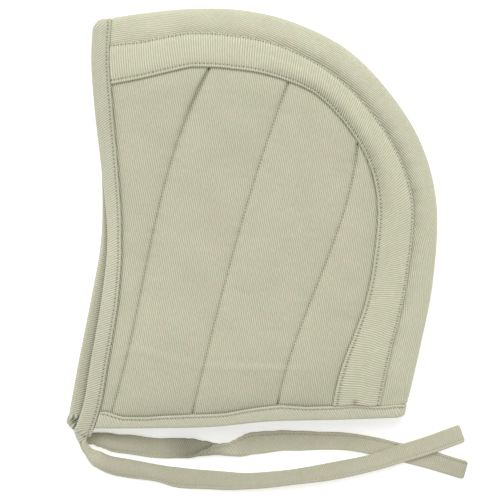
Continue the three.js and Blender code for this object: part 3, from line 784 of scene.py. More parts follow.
def tapeSections(curl, roll, turned, shown):
    # places and directions across the tape for each row of it
    cells, width = tape["cells"], tape["width"] * shown
    bend = tape["creaseRun"] / width
    crease = 1 + bend / 2 - turned * (1 + bend)

    def angleAt(share):
        over = np.clip((share - crease) / bend + 0.5, 0, 1)
        return math.pi * (1 - over) - np.radians(roll + curl * (0.5 - share))

    steps = np.stack([angleAt((k + 0.5) / cells) for k in range(cells)])
    start = np.zeros((1, len(curl)))
    sideways = np.vstack([start, np.cumsum(np.cos(steps), 0) * width / cells])
    up = np.vstack([start, np.cumsum(np.sin(steps), 0) * width / cells])
    angles = np.stack([angleAt(k / cells) for k in range(cells + 1)])
    return sideways - sideways.min(0) - width / 2, up - up.min(0), angles


def makeTie(name, tie):
    line = smoothLine(tie["route"])
    rows = int(line["length"] / tape["step"])
    shares = np.linspace(0, 1, rows + 1)
    along = shares * line["length"]
    toEnd = (1 - shares) * line["length"]
    middle, tangent = pointAt(line, along), slopeAt(line, along)
    lateral = unit(np.stack([-tangent[:, 1], tangent[:, 0], np.zeros(rows + 1)], -1))
    rise = unit(np.cross(tangent, lateral))
    curl, roll, turned, shown, aside = (
        sectionValue(tie["sections"], column, shares) for column in sectionColumns.split()[1:])
    sideways, up, angle = tapeSections(curl, roll, turned, shown)
    middle = middle + lateral * aside[:, None]
    centred = mix((sideways[0] + sideways[-1]) / 2, 0, np.clip(turned * 20, 0, 1))  # while it isn't turned
    across = np.linspace(0, tape["width"], tape["cells"] + 1)[:, None]
    edge = np.minimum(across, tape["width"] - across)
    rowPlace = tape["width"] - tape["rowInset"]
    sewn = 1 - sum(depth * hill(across - rowPlace, width) for depth, width in tape["sewn"])
    plump = 1 + tape["plump"] * softNoise(along, across, tape["plumpSize"], 31)
    ends = mix(tape["endShare"], 1, rounded(toEnd, tape["endRun"]))
    half = tape["thickness"] / 2 * rounded(edge, tape["edgeRound"]) * sewn * plump * ends

    corner = tape["cornerRound"]
    reach = np.clip(corner - edge, 0, corner)
    tuck = (corner - np.sqrt(corner ** 2 - reach ** 2)) * (1 - smoothstep(toEnd, 0, tape["tuckRun"]))

    def face(sign):
        left = sideways - centred + sign * half * np.sin(angle)
        high = up - sign * half * np.cos(angle)
        place = middle[None] + lateral[None] * left[..., None] + rise[None] * high[..., None]
        return place - tangent[None] * tuck[..., None]

    top, under = face(1), face(-1)
    weave = weaveMap(across, along + tape["ribLean"] * across)
    stitch = stitchMap(along / tape["pitch"], across - rowPlace)
    # painted shade along the stitch row of a turned tape, and painted shade along the tie by share of its
    # length
    paintedShading = tape["paintedRowShade"] * hill(across - rowPlace, 0.4) * (turned > 0.5)
    paintedShading = paintedShading + np.interp(shares, *zip(*tie["paintedShading"]))
    piece = makeBody(name + "_tape", top, under, weave, stitch, paintedShading)
    finishPiece(piece, tieTwill, "tie_twill", name)
    row = int(round(rowPlace / tape["width"] * tape["cells"]))
    sewnRows = bothFaces(top, under, unit(top - under), row, slice(*tape["sewnPart"]), tape["pitch"])
    stitches = makeStitches(name + "_stitches", sewnRows, "tie_twill")
    path = [tuple(point) for point in placed(tie["route"])]
    print(f"{name}: {line['length']:.1f} mm of tape")


makeTie("tie_near", nearTie)
makeTie("tie_far", farTie)

# Stitched edges of bands and bindings
seam = {
    "rowInset": 2.0,  # stitches from the edge
    "lip": 0.28,  # height of the very edge
    "edgeRound": 0.65,
    "piping": 0.18,  # raised edge outside the stitches
    "pipingAt": (0.8, 0.7),  # where its middle is, and how wide it is
    "valley": 0.42,  # how deep the stitches pull the cloth in
    "valleyWidth": 0.62,
    "pillow": 0.75,  # how far the strip swells inside the stitches
    "pillowRun": (-0.6, 4.5),  # from where to where, counted from the stitches
}
# distances from a stitched edge, closer together beside its stitches
fineSteps = [
    0, 0.06, 0.16, 0.3, 0.48, 0.7, 0.95, 1.2, 1.45, 1.65, 1.85, 2.0, 2.15, 2.35, 2.6, 2.9, 3.3, 3.8, 4.5,
]


def edgeRelief(distance, pillow, rowInset=seam["rowInset"]):
    # outer face of a turned tape over its flat thickness, at a distance from its stitched edge
    body = mix(seam["lip"], strips["tapeCloth"], rounded(distance, seam["edgeRound"]))
    piping = seam["piping"] * hillAt(distance, *seam["pipingAt"])
    valley = seam["valley"] * hill(distance - rowInset, seam["valleyWidth"])
    swell = pillow * smoothstep(distance - rowInset, *seam["pillowRun"])
    return body + piping - valley + swell


band = {
    "rowsPerStitch": 3,
    "wideSteps": (5.4, 6),  # where the steps across get wide, and how many there are
    "puckers": 0.2,
    "puckerSize": (3.2, 9),  # along and across
    "puckerReach": 4,
    "paintedRowShade": 0.2,
    "paintedRowShadeWidth": 0.9,
    "paintedDrawnShade": 0.24,
    "drawnAt": (3.8, 4.6),  # its middle from the edge, and its width
    "paintedPuckerShade": (196.2, 18.4),  # painted shade of a pucker by the neck binding
    "paintedPuckerShadeWidth": 1.6,
    "outerRow": 1.2,  # stitches from the edge beside the gusset
    # how far the ribs lean along the band for each step across it, by share of the crown
    "ribLean": [(0, 0.04), (0.2, 0.04), (0.4, 0.34), (0.55, 0.55), (0.76, 0.6), (0.88, -0.1), (1, -0.13)],
    # how much deeper the stitches beside the panel pull, by share of the crown
    "drawn": [(0, 1), (0.26, 1.1), (0.33, 1.9), (0.4, 2.4), (0.58, 2.5), (0.7, 1.4), (1, 1)],
}


def makeBand(name, side, facing):
    width, pitch = strips["bandWidth"], twillLook["pitch"]
    shares = np.linspace(0, 1, int(crownLength / (pitch / band["rowsPerStitch"])))
    wideFrom, wideCount = band["wideSteps"]
    half = np.concatenate([fineSteps, np.linspace(wideFrom, width / 2, wideCount)])
    steps = np.concatenate([half, width - half[-2::-1]])  # from the gusset's side to the panel's
    across = steps[:, None]
    nape = crownLength - strips["neckWidth"]
    runAtNape = mix(gussetAt(nape), bandEdgeAt(nape), across / width)
    last = crownLength - neckWidthAt(side, runAtNape) - strips["gap"]
    stations = mix(browWidth + strips["gap"], last, shares[None])
    inset = mix(gussetAt(stations), bandEdgeAt(stations), across / width)
    grid = raised(side, fromCrown(side, stations, inset))
    normals = gridNormals(grid) * -facing
    under = strips["edgeCloth"] / 2 + strips["gap"]
    onOuter = across < width / 2
    edge = np.minimum(across, width - across)
    rowInset = np.where(onOuter, band["outerRow"], seam["rowInset"])
    crownShare = stations / crownLength
    drawn = np.where(onOuter, 1, np.interp(crownShare, *zip(*band["drawn"])))
    relief = edgeRelief(edge, seam["pillow"] * drawn if facing > 0 else 0, rowInset)
    sizeAlong, sizeAcross = band["puckerSize"]
    wobble = softNoise(stations / sizeAlong, across / sizeAcross, 1, 5) * drawn
    wobble *= hill(edge - rowInset, band["puckerReach"]) * (facing > 0)
    outer = grid + normals * (under + relief + band["puckers"] * wobble)[..., None]
    inner = grid + normals * under
    middle = arcLengths(grid[len(steps) // 2])
    lean = np.interp(crownShare, *zip(*band["ribLean"]))
    weave = weaveMap(across, middle - lean * across)
    rows = [list(steps).index(place) for place in (band["outerRow"], width - seam["rowInset"])]
    phases = [arcLengths(outer[row]) / pitch for row in rows]
    stitch = stitchMap(np.where(onOuter, *phases), edge - rowInset)
    # painted shade along the stitches, beside the drawn stitches, and at the pucker by the neck binding
    paintedShading = band["paintedRowShade"] * hill(edge - rowInset, band["paintedRowShadeWidth"])
    paintedShading = paintedShading + band["paintedDrawnShade"] * (drawn - 1) * hillAt(edge, *band["drawnAt"])
    if facing > 0:
        paintedShading = paintedShading + hill(np.linalg.norm(outer[..., :2] - band["paintedPuckerShade"], axis=-1), band["paintedPuckerShadeWidth"])
    piece = makeBody(name + "_tape", outer, inner, weave, stitch, paintedShading)
    finishPiece(piece, bandTwill, "strip_twill", name)
    stitches = makeStitches(
        name + "_stitches", [(outer[row], normals[row], pitch) for row in rows], "strip_twill")
    area = np.linalg.norm(np.cross(np.gradient(grid, axis=0), np.gradient(grid, axis=1)), axis=-1).sum()
    restsOn = ["side_panel_near" if facing > 0 else "side_panel_far"]
    declareSheet(piece, area / middle[-1], middle[-1], "laid", restsOn, stitches)


makeBand("seam_band_near", nearSide, 1)
makeBand("seam_band_far", farSide, -1)

gusset = {
    "step": 1.2,
    "flatCells": 16,  # from the seam to the fold
    "foldCells": 18,
    # reliefs and painted shade: the middle of each from the band's edge, and its width
    "swell": 0.9,  # between the band and the crown fold
    "swellAt": (10, 7),
    "swellStart": 6,
    "pulled": 0.5,  # beside the band, where its stitches draw the cloth in
    "pulledAt": (0.8, 2.2),
    "ripple": 0.3,
    "rippleAt": (3, 7),
    "rippleSize": (5, 16),  # along and across
    "browFade": (12, 24),
    "napeFade": (9, 20),
    "paintedEdgeShade": 0.55,
    "paintedEdgeShadeAt": (0.2, 0.7),
    "paintedDrawnShade": 0.24,
    "paintedDrawnShadeAt": (2, 5),
    # how much more the cloth is drawn in, by share of the crown
    "drawn": [(0, 1), (0.15, 1.3), (0.25, 1.4), (0.35, 2.4), (0.62, 2.6), (0.72, 1.8), (0.85, 1.2), (1, 1)],
    # slope of the ribs towards the outline, by share of the crown
    "ribSlope": [(0, -0.3), (0.18, -0.36), (0.35, -0.05), (0.52, 0.29), (0.69, 0.44), (0.9, 0.06), (1, 0)],
}


def makeGusset():
    stations = np.linspace(edgeInset, crownLength - edgeInset, int(crownLength / gusset["step"]))
    seamEdge = seamAt(stations) - strips["seamGap"] / 2
    foldEdge = foldInset(stations) + lie["foldRadius"]
    flatShares = np.linspace(0, 1, gusset["flatCells"] + 1)[:, None]
    turns = np.linspace(90, -90, gusset["foldCells"] + 1)[1:-1, None]
    atOutline = len(flatShares) + len(turns) // 2
    grid = np.concatenate([
        raised(nearSide, fromCrown(nearSide, stations, mix(seamEdge, foldEdge, flatShares))),
        onFold(stations, turns),
        raised(farSide, fromCrown(farSide, stations, mix(foldEdge, seamEdge, flatShares[::2]))),
    ])
    normals = gridNormals(grid)
    across = arcLengths(grid)
    beyond = across - (seamEdge - gussetAt(stations))  # past the band's edge
    half = strips["edgeCloth"] / 2
    ends = smoothstep(stations - stations[0], *gusset["browFade"])
    ends *= smoothstep(stations[-1] - stations, *gusset["napeFade"])
    swell = gusset["swell"] * hillAt(beyond, *gusset["swellAt"]) * smoothstep(beyond, 0, gusset["swellStart"])
    pulled = gusset["pulled"] * hillAt(beyond, *gusset["pulledAt"])
    sizeAlong, sizeAcross = gusset["rippleSize"]
    ripple = gusset["ripple"] * softNoise(stations / sizeAlong, beyond / sizeAcross, 1, 11)
    ripple *= hillAt(beyond, *gusset["rippleAt"])
    drawn = np.interp(stations / crownLength, *zip(*gusset["drawn"]))
    relief = (swell - (pulled - ripple) * drawn) * ends * (across < across[atOutline])
    # painted shade in the valley beside the band's edge, and where the cloth is drawn in
    paintedShading = gusset["paintedEdgeShade"] * hillAt(beyond, *gusset["paintedEdgeShadeAt"])
    paintedShading = paintedShading + gusset["paintedDrawnShade"] * (drawn - 1) * hillAt(beyond, *gusset["paintedDrawnShadeAt"])
    outer = grid + normals * (half + relief)[..., None]
    inner = grid - normals * half
    slope = np.interp(stations / crownLength, *zip(*gusset["ribSlope"]))
    weave = weaveMap(stations, across - np.cumsum(slope * np.gradient(stations)))
    stitch = stitchMap(np.ones(across.shape), farAway)
    piece = makeBody("crown_gusset_cloth", outer, inner, weave, stitch, paintedShading)
    finishPiece(piece, gussetTwill, "strip_twill", "crown_gusset")
    declareSheet(piece, across[-1].mean(), crownLength, "folded", ["seam_band_near", "seam_band_far"])


makeGusset()

binding = {
    "rowsPerStitch": 2.6,
    "swell": 0.35,
    "puckers": 0.1,
    "puckerSize": 3.4,
    "puckerReach": 2.5,
    "pitch": 2.7,
    "ribLean": 0.5,
    "closed": 0.1,  # opening of the fold where it is shut
    "paintedRowShade": 0.25,
    "paintedRowShadeWidth": 0.8,
    "fineShare": 0.6,  # of a narrow tape, that the fine steps may take up
    "wideShares": (0.2, 0.4, 0.6, 0.8, 1),
    "edgeCells": 14,  # round the folded edge
    "underShade": 0.6,  # painted shade of the far layer below the near one
    "underRun": (-4.5, 1),  # from outside the near layer's edge to inside it
    "paintedHollowShade": (4.9, 5.4),  # painted shade in the hollow at the jaw, between the layers
    "paintedHollowShadeWidth": 2.7,
    "paintedHighlight": 0.18,  # painted highlight: paler beside the middle of the face
    "paintedHighlightAt": 130,
    "paintedHighlightRun": 45,
    "thinEnd": 0.12,  # thickness of the tape at its ends, as a share
    "thinRows": 9,
    "tailRows": 24,
    "foldCells": 20,  # round the crown fold
    "faceUnsewn": (26, 12),  # rows without stitches at its ends
    "neckUnsewn": (2, 2),
}
# The face binding past the jaw corners, where it turns, closes and narrows towards the ties: its outline and
# its inner edge, from the corner on, and how much of the fold is still open
jawTails = {
    "near": tableOf(
        "outline inner open",
        ((5.4, -2, 10.5), (16, -2.6, 10.5), 0.8),
        ((6.2, -5.2, 11), (14.6, -5.4, 11), 0.5),
        ((7.8, -8.5, 10.9), (13.8, -8.4, 10.9), 0.2),
        ((9.8, -12, 9.4), (14.6, -11.4, 9.4), 0),
        ((12.2, -15.6, 7), (16.6, -13.6, 7), 0),
    ),
    "far": tableOf(
        "outline inner open",
        ((0.2, 6.6, 4.5), (12.6, 7.4, 3.4), 0.95),
        ((-0.2, 4, 4.3), (12, 3.8, 2.4), 0.9),
        ((2, 0.7, 4), (12.5, 0, 2.2), 0.7),
        ((6, -2.8, 2.6), (14, -3.6, 2), 0.4),
        ((9.4, -6.4, 1.7), (14.6, -7, 1.7), 0),
    ),
}
jawCut = {"near": 0.5, "far": 9}  # how far before the corner the turn starts


def bindingBody(name, rows, thickness, unsewn, material):
    # tape folded over an edge: rows of cut edge, stitched edge and how open the fold is
    edges, inners, openings = rows
    normals = gridNormals(np.stack([edges, inners]))
    inward = unit(inners - edges)
    width = np.linalg.norm(inners - edges, axis=-1)
    fineReach = fineSteps[-1]
    flatSteps = [np.minimum(step / width, step / fineReach * binding["fineShare"]) for step in fineSteps]
    flatSteps += [(fineReach + (width - fineReach) * share) / width for share in binding["wideShares"]]
    swell = binding["swell"]
    lengths = arcLengths((edges + inners) / 2)
    wobble = binding["puckers"] * softNoise(lengths / binding["puckerSize"], 0, 1, 21)
    outer, inner, distances = [], [], []

    def layer(middle, direction, thick, away):
        outer.append(middle + direction * (openings + thick * thickness)[:, None])
        inner.append(middle + direction * openings[:, None])
        distances.append(away)

    def flatLayer(step, sign):
        away = step * width
        fromRow = away - seam["rowInset"]
        normal = unit(mix(normals[1], normals[0], step[:, None]))
        thick = edgeRelief(away, swell) + wobble * hill(fromRow, binding["puckerReach"])
        layer(mix(inners, edges, step[:, None]), sign * normal, thick, fromRow)

    for step in flatSteps:
        flatLayer(step, 1)
    for angle in np.radians(np.linspace(0, 180, binding["edgeCells"] + 1)[1:-1]):
        direction = normals[0] * math.cos(angle) - inward * math.sin(angle)
        thick = strips["tapeCloth"] + swell * math.cos(angle) ** 2
        layer(edges, direction, thick, np.full(len(width), farAway))
    for step in flatSteps[::-1]:
        flatLayer(step, -1)
    outer, inner = np.stack(outer), np.stack(inner)
    profile = arcLengths(outer)
    weave = weaveMap(profile, lengths - binding["ribLean"] * profile)
    part = slice(unsewn[0], len(width) - unsewn[1])
    row = fineSteps.index(seam["rowInset"])
    rowLengths = arcLengths(outer[row])
    away = np.abs(np.stack(distances))
    away[:, :part.start] += farAway
    away[:, part.stop:] += farAway
    stitch = stitchMap((rowLengths - rowLengths[part.start]) / binding["pitch"], away)
    # painted shade along the stitches, in the jaw hollow and on the far layer under the near one
    paintedHollowShade = hill(np.linalg.norm(outer[..., :2] - binding["paintedHollowShade"], axis=-1), binding["paintedHollowShadeWidth"])
    below = smoothstep(-depthFrom(nearSide["face"], outer), *binding["underRun"])
    onFarTop = (outer[..., 2] < foldMiddle) & (outer[..., 2] > inner[..., 2])
    # painted highlight in the middle of the face binding
    paintedHighlight = binding["paintedHighlight"] * hill(outer[..., 1] - binding["paintedHighlightAt"], binding["paintedHighlightRun"])
    paintedShading = binding["paintedRowShade"] * hill(away, binding["paintedRowShadeWidth"]) - paintedHighlight
    paintedShading = paintedShading + (binding["underShade"] * below + paintedHollowShade) * onFarTop
    piece = makeBody(name + "_tape", outer, inner, weave, stitch, paintedShading)
    finishPiece(piece, material, "binding_twill", name)
    outward = unit(outer - inner)
    sewn = makeStitches(name + "_stitches", [
        (outer[at, part], outward[at, part], binding["pitch"]) for at in (row, len(outer) - 1 - row)
    ], "binding_twill")
    restsOn = ["side_panel_near", "side_panel_far", "crown_gusset"]
    declareSheet(piece, np.median(profile[-1]), lengths[-1], "folded", restsOn, sewn)


def sideRows(side, fromEdge, widthAt, stations):
    # rows of a binding on one layer of the cap
    return (
        raised(side, fromEdge(side, edgeInset, stations)),
        raised(side, fromEdge(side, widthAt(side, stations), stations)),
        np.full(len(stations), bindingOpening),
    )


def foldedOver(far, near, edgeAlong, innerAlong):
    # rows of a binding from the far layer round the crown fold to the near one
    turns = np.linspace(-90, 90, binding["foldCells"] + 1)[1:-1]
    over = (onFold(edgeAlong, turns), onFold(innerAlong, turns), np.full(len(turns), bindingOpening))
    return [np.concatenate([*parts[:2], parts[2][::-1]]) for parts in zip(far, over, near)]


def jawTail(side, shares):
    # the face binding from where it turns at a jaw corner to its end
    down = side["face"]["length"] - jawCut[side["name"]]
    first = raised(side, fromFace(side, np.array([edgeInset, float(faceWidthAt(side, down))]), down))
    outward = unit(first[0] - first[1])
    rows = jawTails[side["name"]]
    outline = smoothLine([first[0] + outward * edgeInset, *(row["outline"] for row in rows)])
    inner = smoothLine([first[1], *(row["inner"] for row in rows)])
    opens = [1, *(row["open"] for row in rows)]
    read = lambda line: pointAt(line, np.interp(shares * len(rows), line["rows"], line["lengths"]))
    outline, inner = read(outline), read(inner)
    share = np.interp(shares, np.linspace(0, 1, len(opens)), opens)
    opening = mix(binding["closed"], bindingOpening, share)
    return outline + unit(inner - outline) * (opening + strips["tapeCloth"])[:, None], inner, opening


def makeFaceBinding():
    fold = float(foldInset(edgeInset)) + lie["foldRadius"]
    halves = []
    for side in (farSide, nearSide):
        lowest = side["face"]["length"] - jawCut[side["name"]]
        down = np.linspace(lowest, fold, int(lowest / bindingStep))
        tail = jawTail(side, np.linspace(1, 0, binding["tailRows"] + 1)[:-1])
        parts = zip(tail, sideRows(side, fromFace, faceWidthAt, down))
        halves.append([np.concatenate(part) for part in parts])
    rows = foldedOver(*halves, edgeInset, browWidth)
    count = np.arange(len(rows[0]))
    toEnd = np.minimum(count, count[::-1])
    thickness = mix(binding["thinEnd"], 1, smoothstep(toEnd, 0, binding["thinRows"]))
    bindingBody("face_binding", rows, thickness, binding["faceUnsewn"], bindingTwill)


def crossingOf(test, low, high):
    # where a rising test passes zero
    for _ in range(40):
        middle = (low + high) / 2
        if test(middle) > 0:
            high = middle
        else:
            low = middle
    return (low + high) / 2


def neckRunAtFace(side, margin, depthShare):
    # where the line at a share of the neck binding's width comes within a depth of the face edge
    length = side["neck"]["length"]
    faceDepth = float(faceWidthAt(side, side["face"]["length"])) + margin

    def closeness(run):
        place = fromNeck(side, depthShare * neckWidthAt(side, run), run)
        return faceDepth + float(depthFrom(side["face"], place))

    return crossingOf(closeness, length / 2, length)


def makeNeckBinding():
    end = crownLength - edgeInset
    fold = float(foldInset(end)) + lie["foldRadius"]
    halves = []
    for side in (farSide, nearSide):
        start = neckRunAtFace(side, strips["gap"], 0.5)
        run = np.linspace(start, fold, int((start - fold) / bindingStep))
        halves.append(sideRows(side, fromNeck, neckWidthAt, run))
    rows = foldedOver(*halves, end, crownLength - float(neckWidthAt(nearSide, fold)))
    bindingBody("neck_binding", rows, 1, binding["neckUnsewn"], hemTwill)


bindingStep = binding["pitch"] / binding["rowsPerStitch"]
makeFaceBinding()
makeNeckBinding()

# Quilting seams: where they leave the neck binding and meet the band, as shares of the neck edge and of the
# crown outline, how far they bow aft at one and two thirds, as shares of the depth, how far and over what
# length their tops pull the cloth in, and how much painted shade lies at their feet
quiltSeams = tableOf(
    "neck crown lowBow highBow pull pullRun foot",
    (0.049, 0.1755, -0.011, -0.03, 2.4, 34, 0.1),
    (0.415, 0.336, -0.012, -0.015, 0.9, 16, 0.6),
    (0.777, 0.527, 0, 0.018, 1.4, 12, 0.8),
)
padding = {
    "outside": 2.4,
    "inside": 1.2,
    "farOutside": farMiddle - strips["edgeCloth"] / 2,
    "farInside": 2,
    "margin": 0.8,  # flat cloth beside a band or binding
    "seamFade": 14,
    "cornerStep": 3,
    "fullChannel": 30,
    "power": 2.6,
    "fieldCorner": 0.572,
    "valley": 0.5,  # sunk line of the quilting stitches
    "valleyWidth": 0.9,
    "flank": 0.35,  # broader dip on both sides of it
    "flankWidth": 2.6,
    "pitch": 2.3,
    "pucker": 0.32,
    "puckerReach": 7,
    "puckerSize": (4.6, 11),  # along a seam and away from it
    "wave": 0.55,  # broad unevenness of the padding
    "waveSize": 46,
    "ribLean": 0.19,
    "cells": 26,
    "bunched": 0.9,  # how much closer together the cells lie beside the seams
    "rows": 270,
    "rim": (0, 0.5, 0.8, 0.93),  # how the flat cloth round the field is divided
    "calmEnds": 12,  # where the unevenness fades out, at the ends of the channels and beside the outer ones
    "calmSides": 10,
    "pullWidth": (0.6, 1.6),  # at the top of a seam, and how much wider a run further down
    "footRun": (1, 5),
    "footWidth": 0.9,
    "paintedBorderShade": (0.48, 0.4),  # how strong, and how wide
    "paintedSeamShade": (0.24, 0.8),
    "paintedPullShade": 0.24,
    "paintedReliefShading": 0.1,
}
# Creases of the near panel, millimetres from the jaw corner: ends, width and depth, ridges below zero
creases = tableOf(
    "start end width depth",
    ((200, 199), (210, 168), 2.4, 1.1),
    ((43, 55.5), (91, 43.3), 2.8, -0.6),
    ((91, 43), (166, 41.3), 2.6, -0.6),
    ((111, 96), (125, 91), 2.2, 0.6),
    ((178, 78), (200, 73), 3.5, 0.5),
    ((196, 103), (190, 92), 4, 0.5),
)


def bowAt(share, low, high):
    # a curve that is straight at both ends, low at one third and high at two thirds
    return 13.5 * share * (1 - share) * (low * (2 / 3 - share) + high * (share - 1 / 3))


def creaseRelief(x, y):
    total = np.zeros_like(x)
    for crease in creases:
        start, end = np.array(crease["start"]), np.array(crease["end"])
        run = end - start
        share = np.clip(((x - start[0]) * run[0] + (y - start[1]) * run[1]) / (run @ run), 0, 1)
        away = np.hypot(x - start[0] - share * run[0], y - start[1] - share * run[1])
        total -= crease["depth"] * np.sin(math.pi * mix(0.12, 0.88, share)) * hill(away, crease["width"])
    return total


def betweenRings(grid, places):
    # the first and last interval of the grid's first axis is divided at the places
    first = [mix(grid[0], grid[1], share) for share in places]
    last = [mix(grid[-1], grid[-2], share) for share in places[::-1]]
    return np.concatenate([np.stack(first), grid[1:-1], np.stack(last)])


def panelPlan(side, flatness):
    # in plan: the quilted field and how full its padding is, the whole panel with the flat cloth round the
    # field, and the columns of the field that are seams
    margin = padding["margin"]
    browAlong = browWidth + margin
    cornerAlong = padding["fieldCorner"] * crownLength
    napeAlong = crownLength - strips["neckWidth"] - margin
    jawRun = neckRunAtFace(side, margin, 1)
    underBand = lambda along: bandEdgeAt(along) + margin
    fromBinding = lambda down: fromFace(side, faceWidthAt(side, down) + margin, down)
    neckLine = lambda run: fromNeck(side, neckWidthAt(side, run) + margin, run)
    cutEdge = lambda along: fromCrown(side, along, seamAt(along) + strips["seamGap"] / 2)

    def downAt(level):
        return crossingOf(lambda down: level - fromBinding(down)[1], 0, side["face"]["length"])

    lowerDown, hemDown = downAt(neckLine(jawRun)[1]), downAt(fromNeck(side, edgeInset, jawRun)[1])
    runAt = lambda share: mix(jawRun, underBand(napeAlong), share)
    bottom = lambda share: neckLine(runAt(share))
    top = lambda share: fromCrown(side, share * crownLength, underBand(share * crownLength))
    downLeft = lambda share: mix(lowerDown, underBand(browAlong), share)
    left = lambda share: fromBinding(downLeft(share))
    backAlong = lambda share: mix(napeAlong, cornerAlong, share)
    right = lambda share: fromCrown(side, backAlong(share), underBand(backAlong(share)))

    def seamRail(row):
        def rail(share):
            place = mix(bottom(row["neck"]), top(row["crown"]), share[:, None])
            place[:, 0] += capSize["depth"] * bowAt(share, row["lowBow"], row["highBow"])
            return place
        return rail

    rails = [left, *(seamRail(row) for row in quiltSeams), right]
    neckShares = [0, *(row["neck"] for row in quiltSeams), 1]
    crownShares = [browAlong / crownLength, *(row["crown"] for row in quiltSeams), padding["fieldCorner"]]
    rows = np.linspace(0, 1, padding["rows"] + 1)
    cells = padding["cells"]
    even = np.arange(cells + 1) / cells
    steps = mix(even, 0.5 - 0.5 * np.cos(math.pi * even), padding["bunched"])

    field, pads, lower, upper, railColumns = [], [], [], [], [0]
    for channel in range(len(rails) - 1):
        lineA, lineB = rails[channel](rows), rails[channel + 1](rows)
        width = np.linalg.norm(lineA - lineB, axis=-1)
        for cell in range(0 if channel == 0 else 1, cells + 1):
            across = steps[cell]
            neckShare = mix(neckShares[channel], neckShares[channel + 1], across)
            crownShare = mix(crownShares[channel], crownShares[channel + 1], across)
            ends = mix(bottom(neckShare), top(crownShare), rows[:, None])
            corners = mix(mix(lineA[0], lineB[0], across), mix(lineA[-1], lineB[-1], across), rows[:, None])
            line = mix(lineA, lineB, across) + ends - corners
            field.append(line)
            pillow = min(1, flatness * (1 - abs(2 * across - 1) ** padding["power"]))
            reach = np.linalg.norm(line[0] - line[-1])
            endRise = riseFrom(reach * np.minimum(rows, 1 - rows), padding["seamFade"], 0)
            pads.append(pillow * np.minimum(1, width / padding["fullChannel"]) * endRise)
            lower.append(fromNeck(side, edgeInset, runAt(neckShare)))
            isCorner = channel == len(rails) - 2 and cell == cells
            upper.append(cutEdge(crownLength * crownShare - (padding["cornerStep"] if isCorner else 0)))
        railColumns.append(len(field) - 1)
    field = np.stack(field)
    body = np.concatenate([np.stack(lower)[:, None], field, np.stack(upper)[:, None]], 1)
    leftEdge = [fromFace(side, edgeInset, [hemDown]), fromFace(side, edgeInset, downLeft(rows))]
    leftEdge.append(cutEdge(np.array([edgeInset])))
    rightAlong = backAlong(rows) + padding["cornerStep"] * rows ** 8
    rightEdge = cutEdge(np.concatenate([[crownLength - edgeInset], rightAlong, [cornerAlong]]))
    plan = np.concatenate([np.concatenate(leftEdge)[None], body, rightEdge[None]])
    plan = betweenRings(plan, padding["rim"])
    plan = betweenRings(plan.transpose(1, 0, 2), padding["rim"]).transpose(1, 0, 2)
    return field, np.stack(pads), plan, railColumns


def seamReach(field, seamLines):
    # how far each place of the field is from the nearest quilting seam and along which stitch, how far the
    # seams' tops pull it in, and how much painted shade lies at their feet
    gap = np.full(field.shape[:2], farAway)
    phase, pull, foot = (np.zeros(field.shape[:2]) for _ in range(3))
    atTop, wider = padding["pullWidth"]
    for row, line in zip(quiltSeams, seamLines):
        lengths = arcLengths(line)
        fromTop = (lengths[-1] - lengths) / row["pullRun"]
        slope = unit(np.gradient(line, axis=0))
        offset = field - line
        away = np.abs(offset[..., 0] * slope[:, 1] - offset[..., 1] * slope[:, 0])
        pull += row["pull"] * np.exp(-fromTop ** 1.5) * hill(away, atTop + wider * fromTop)
        foot += row["foot"] * hillAt(lengths, *padding["footRun"]) * hill(away, padding["footWidth"])
        closer = away < gap
        gap = np.where(closer, away, gap)
        phase = np.where(closer, (lengths + (offset * slope).sum(-1)) / padding["pitch"], phase)
    return gap, phase, pull, foot


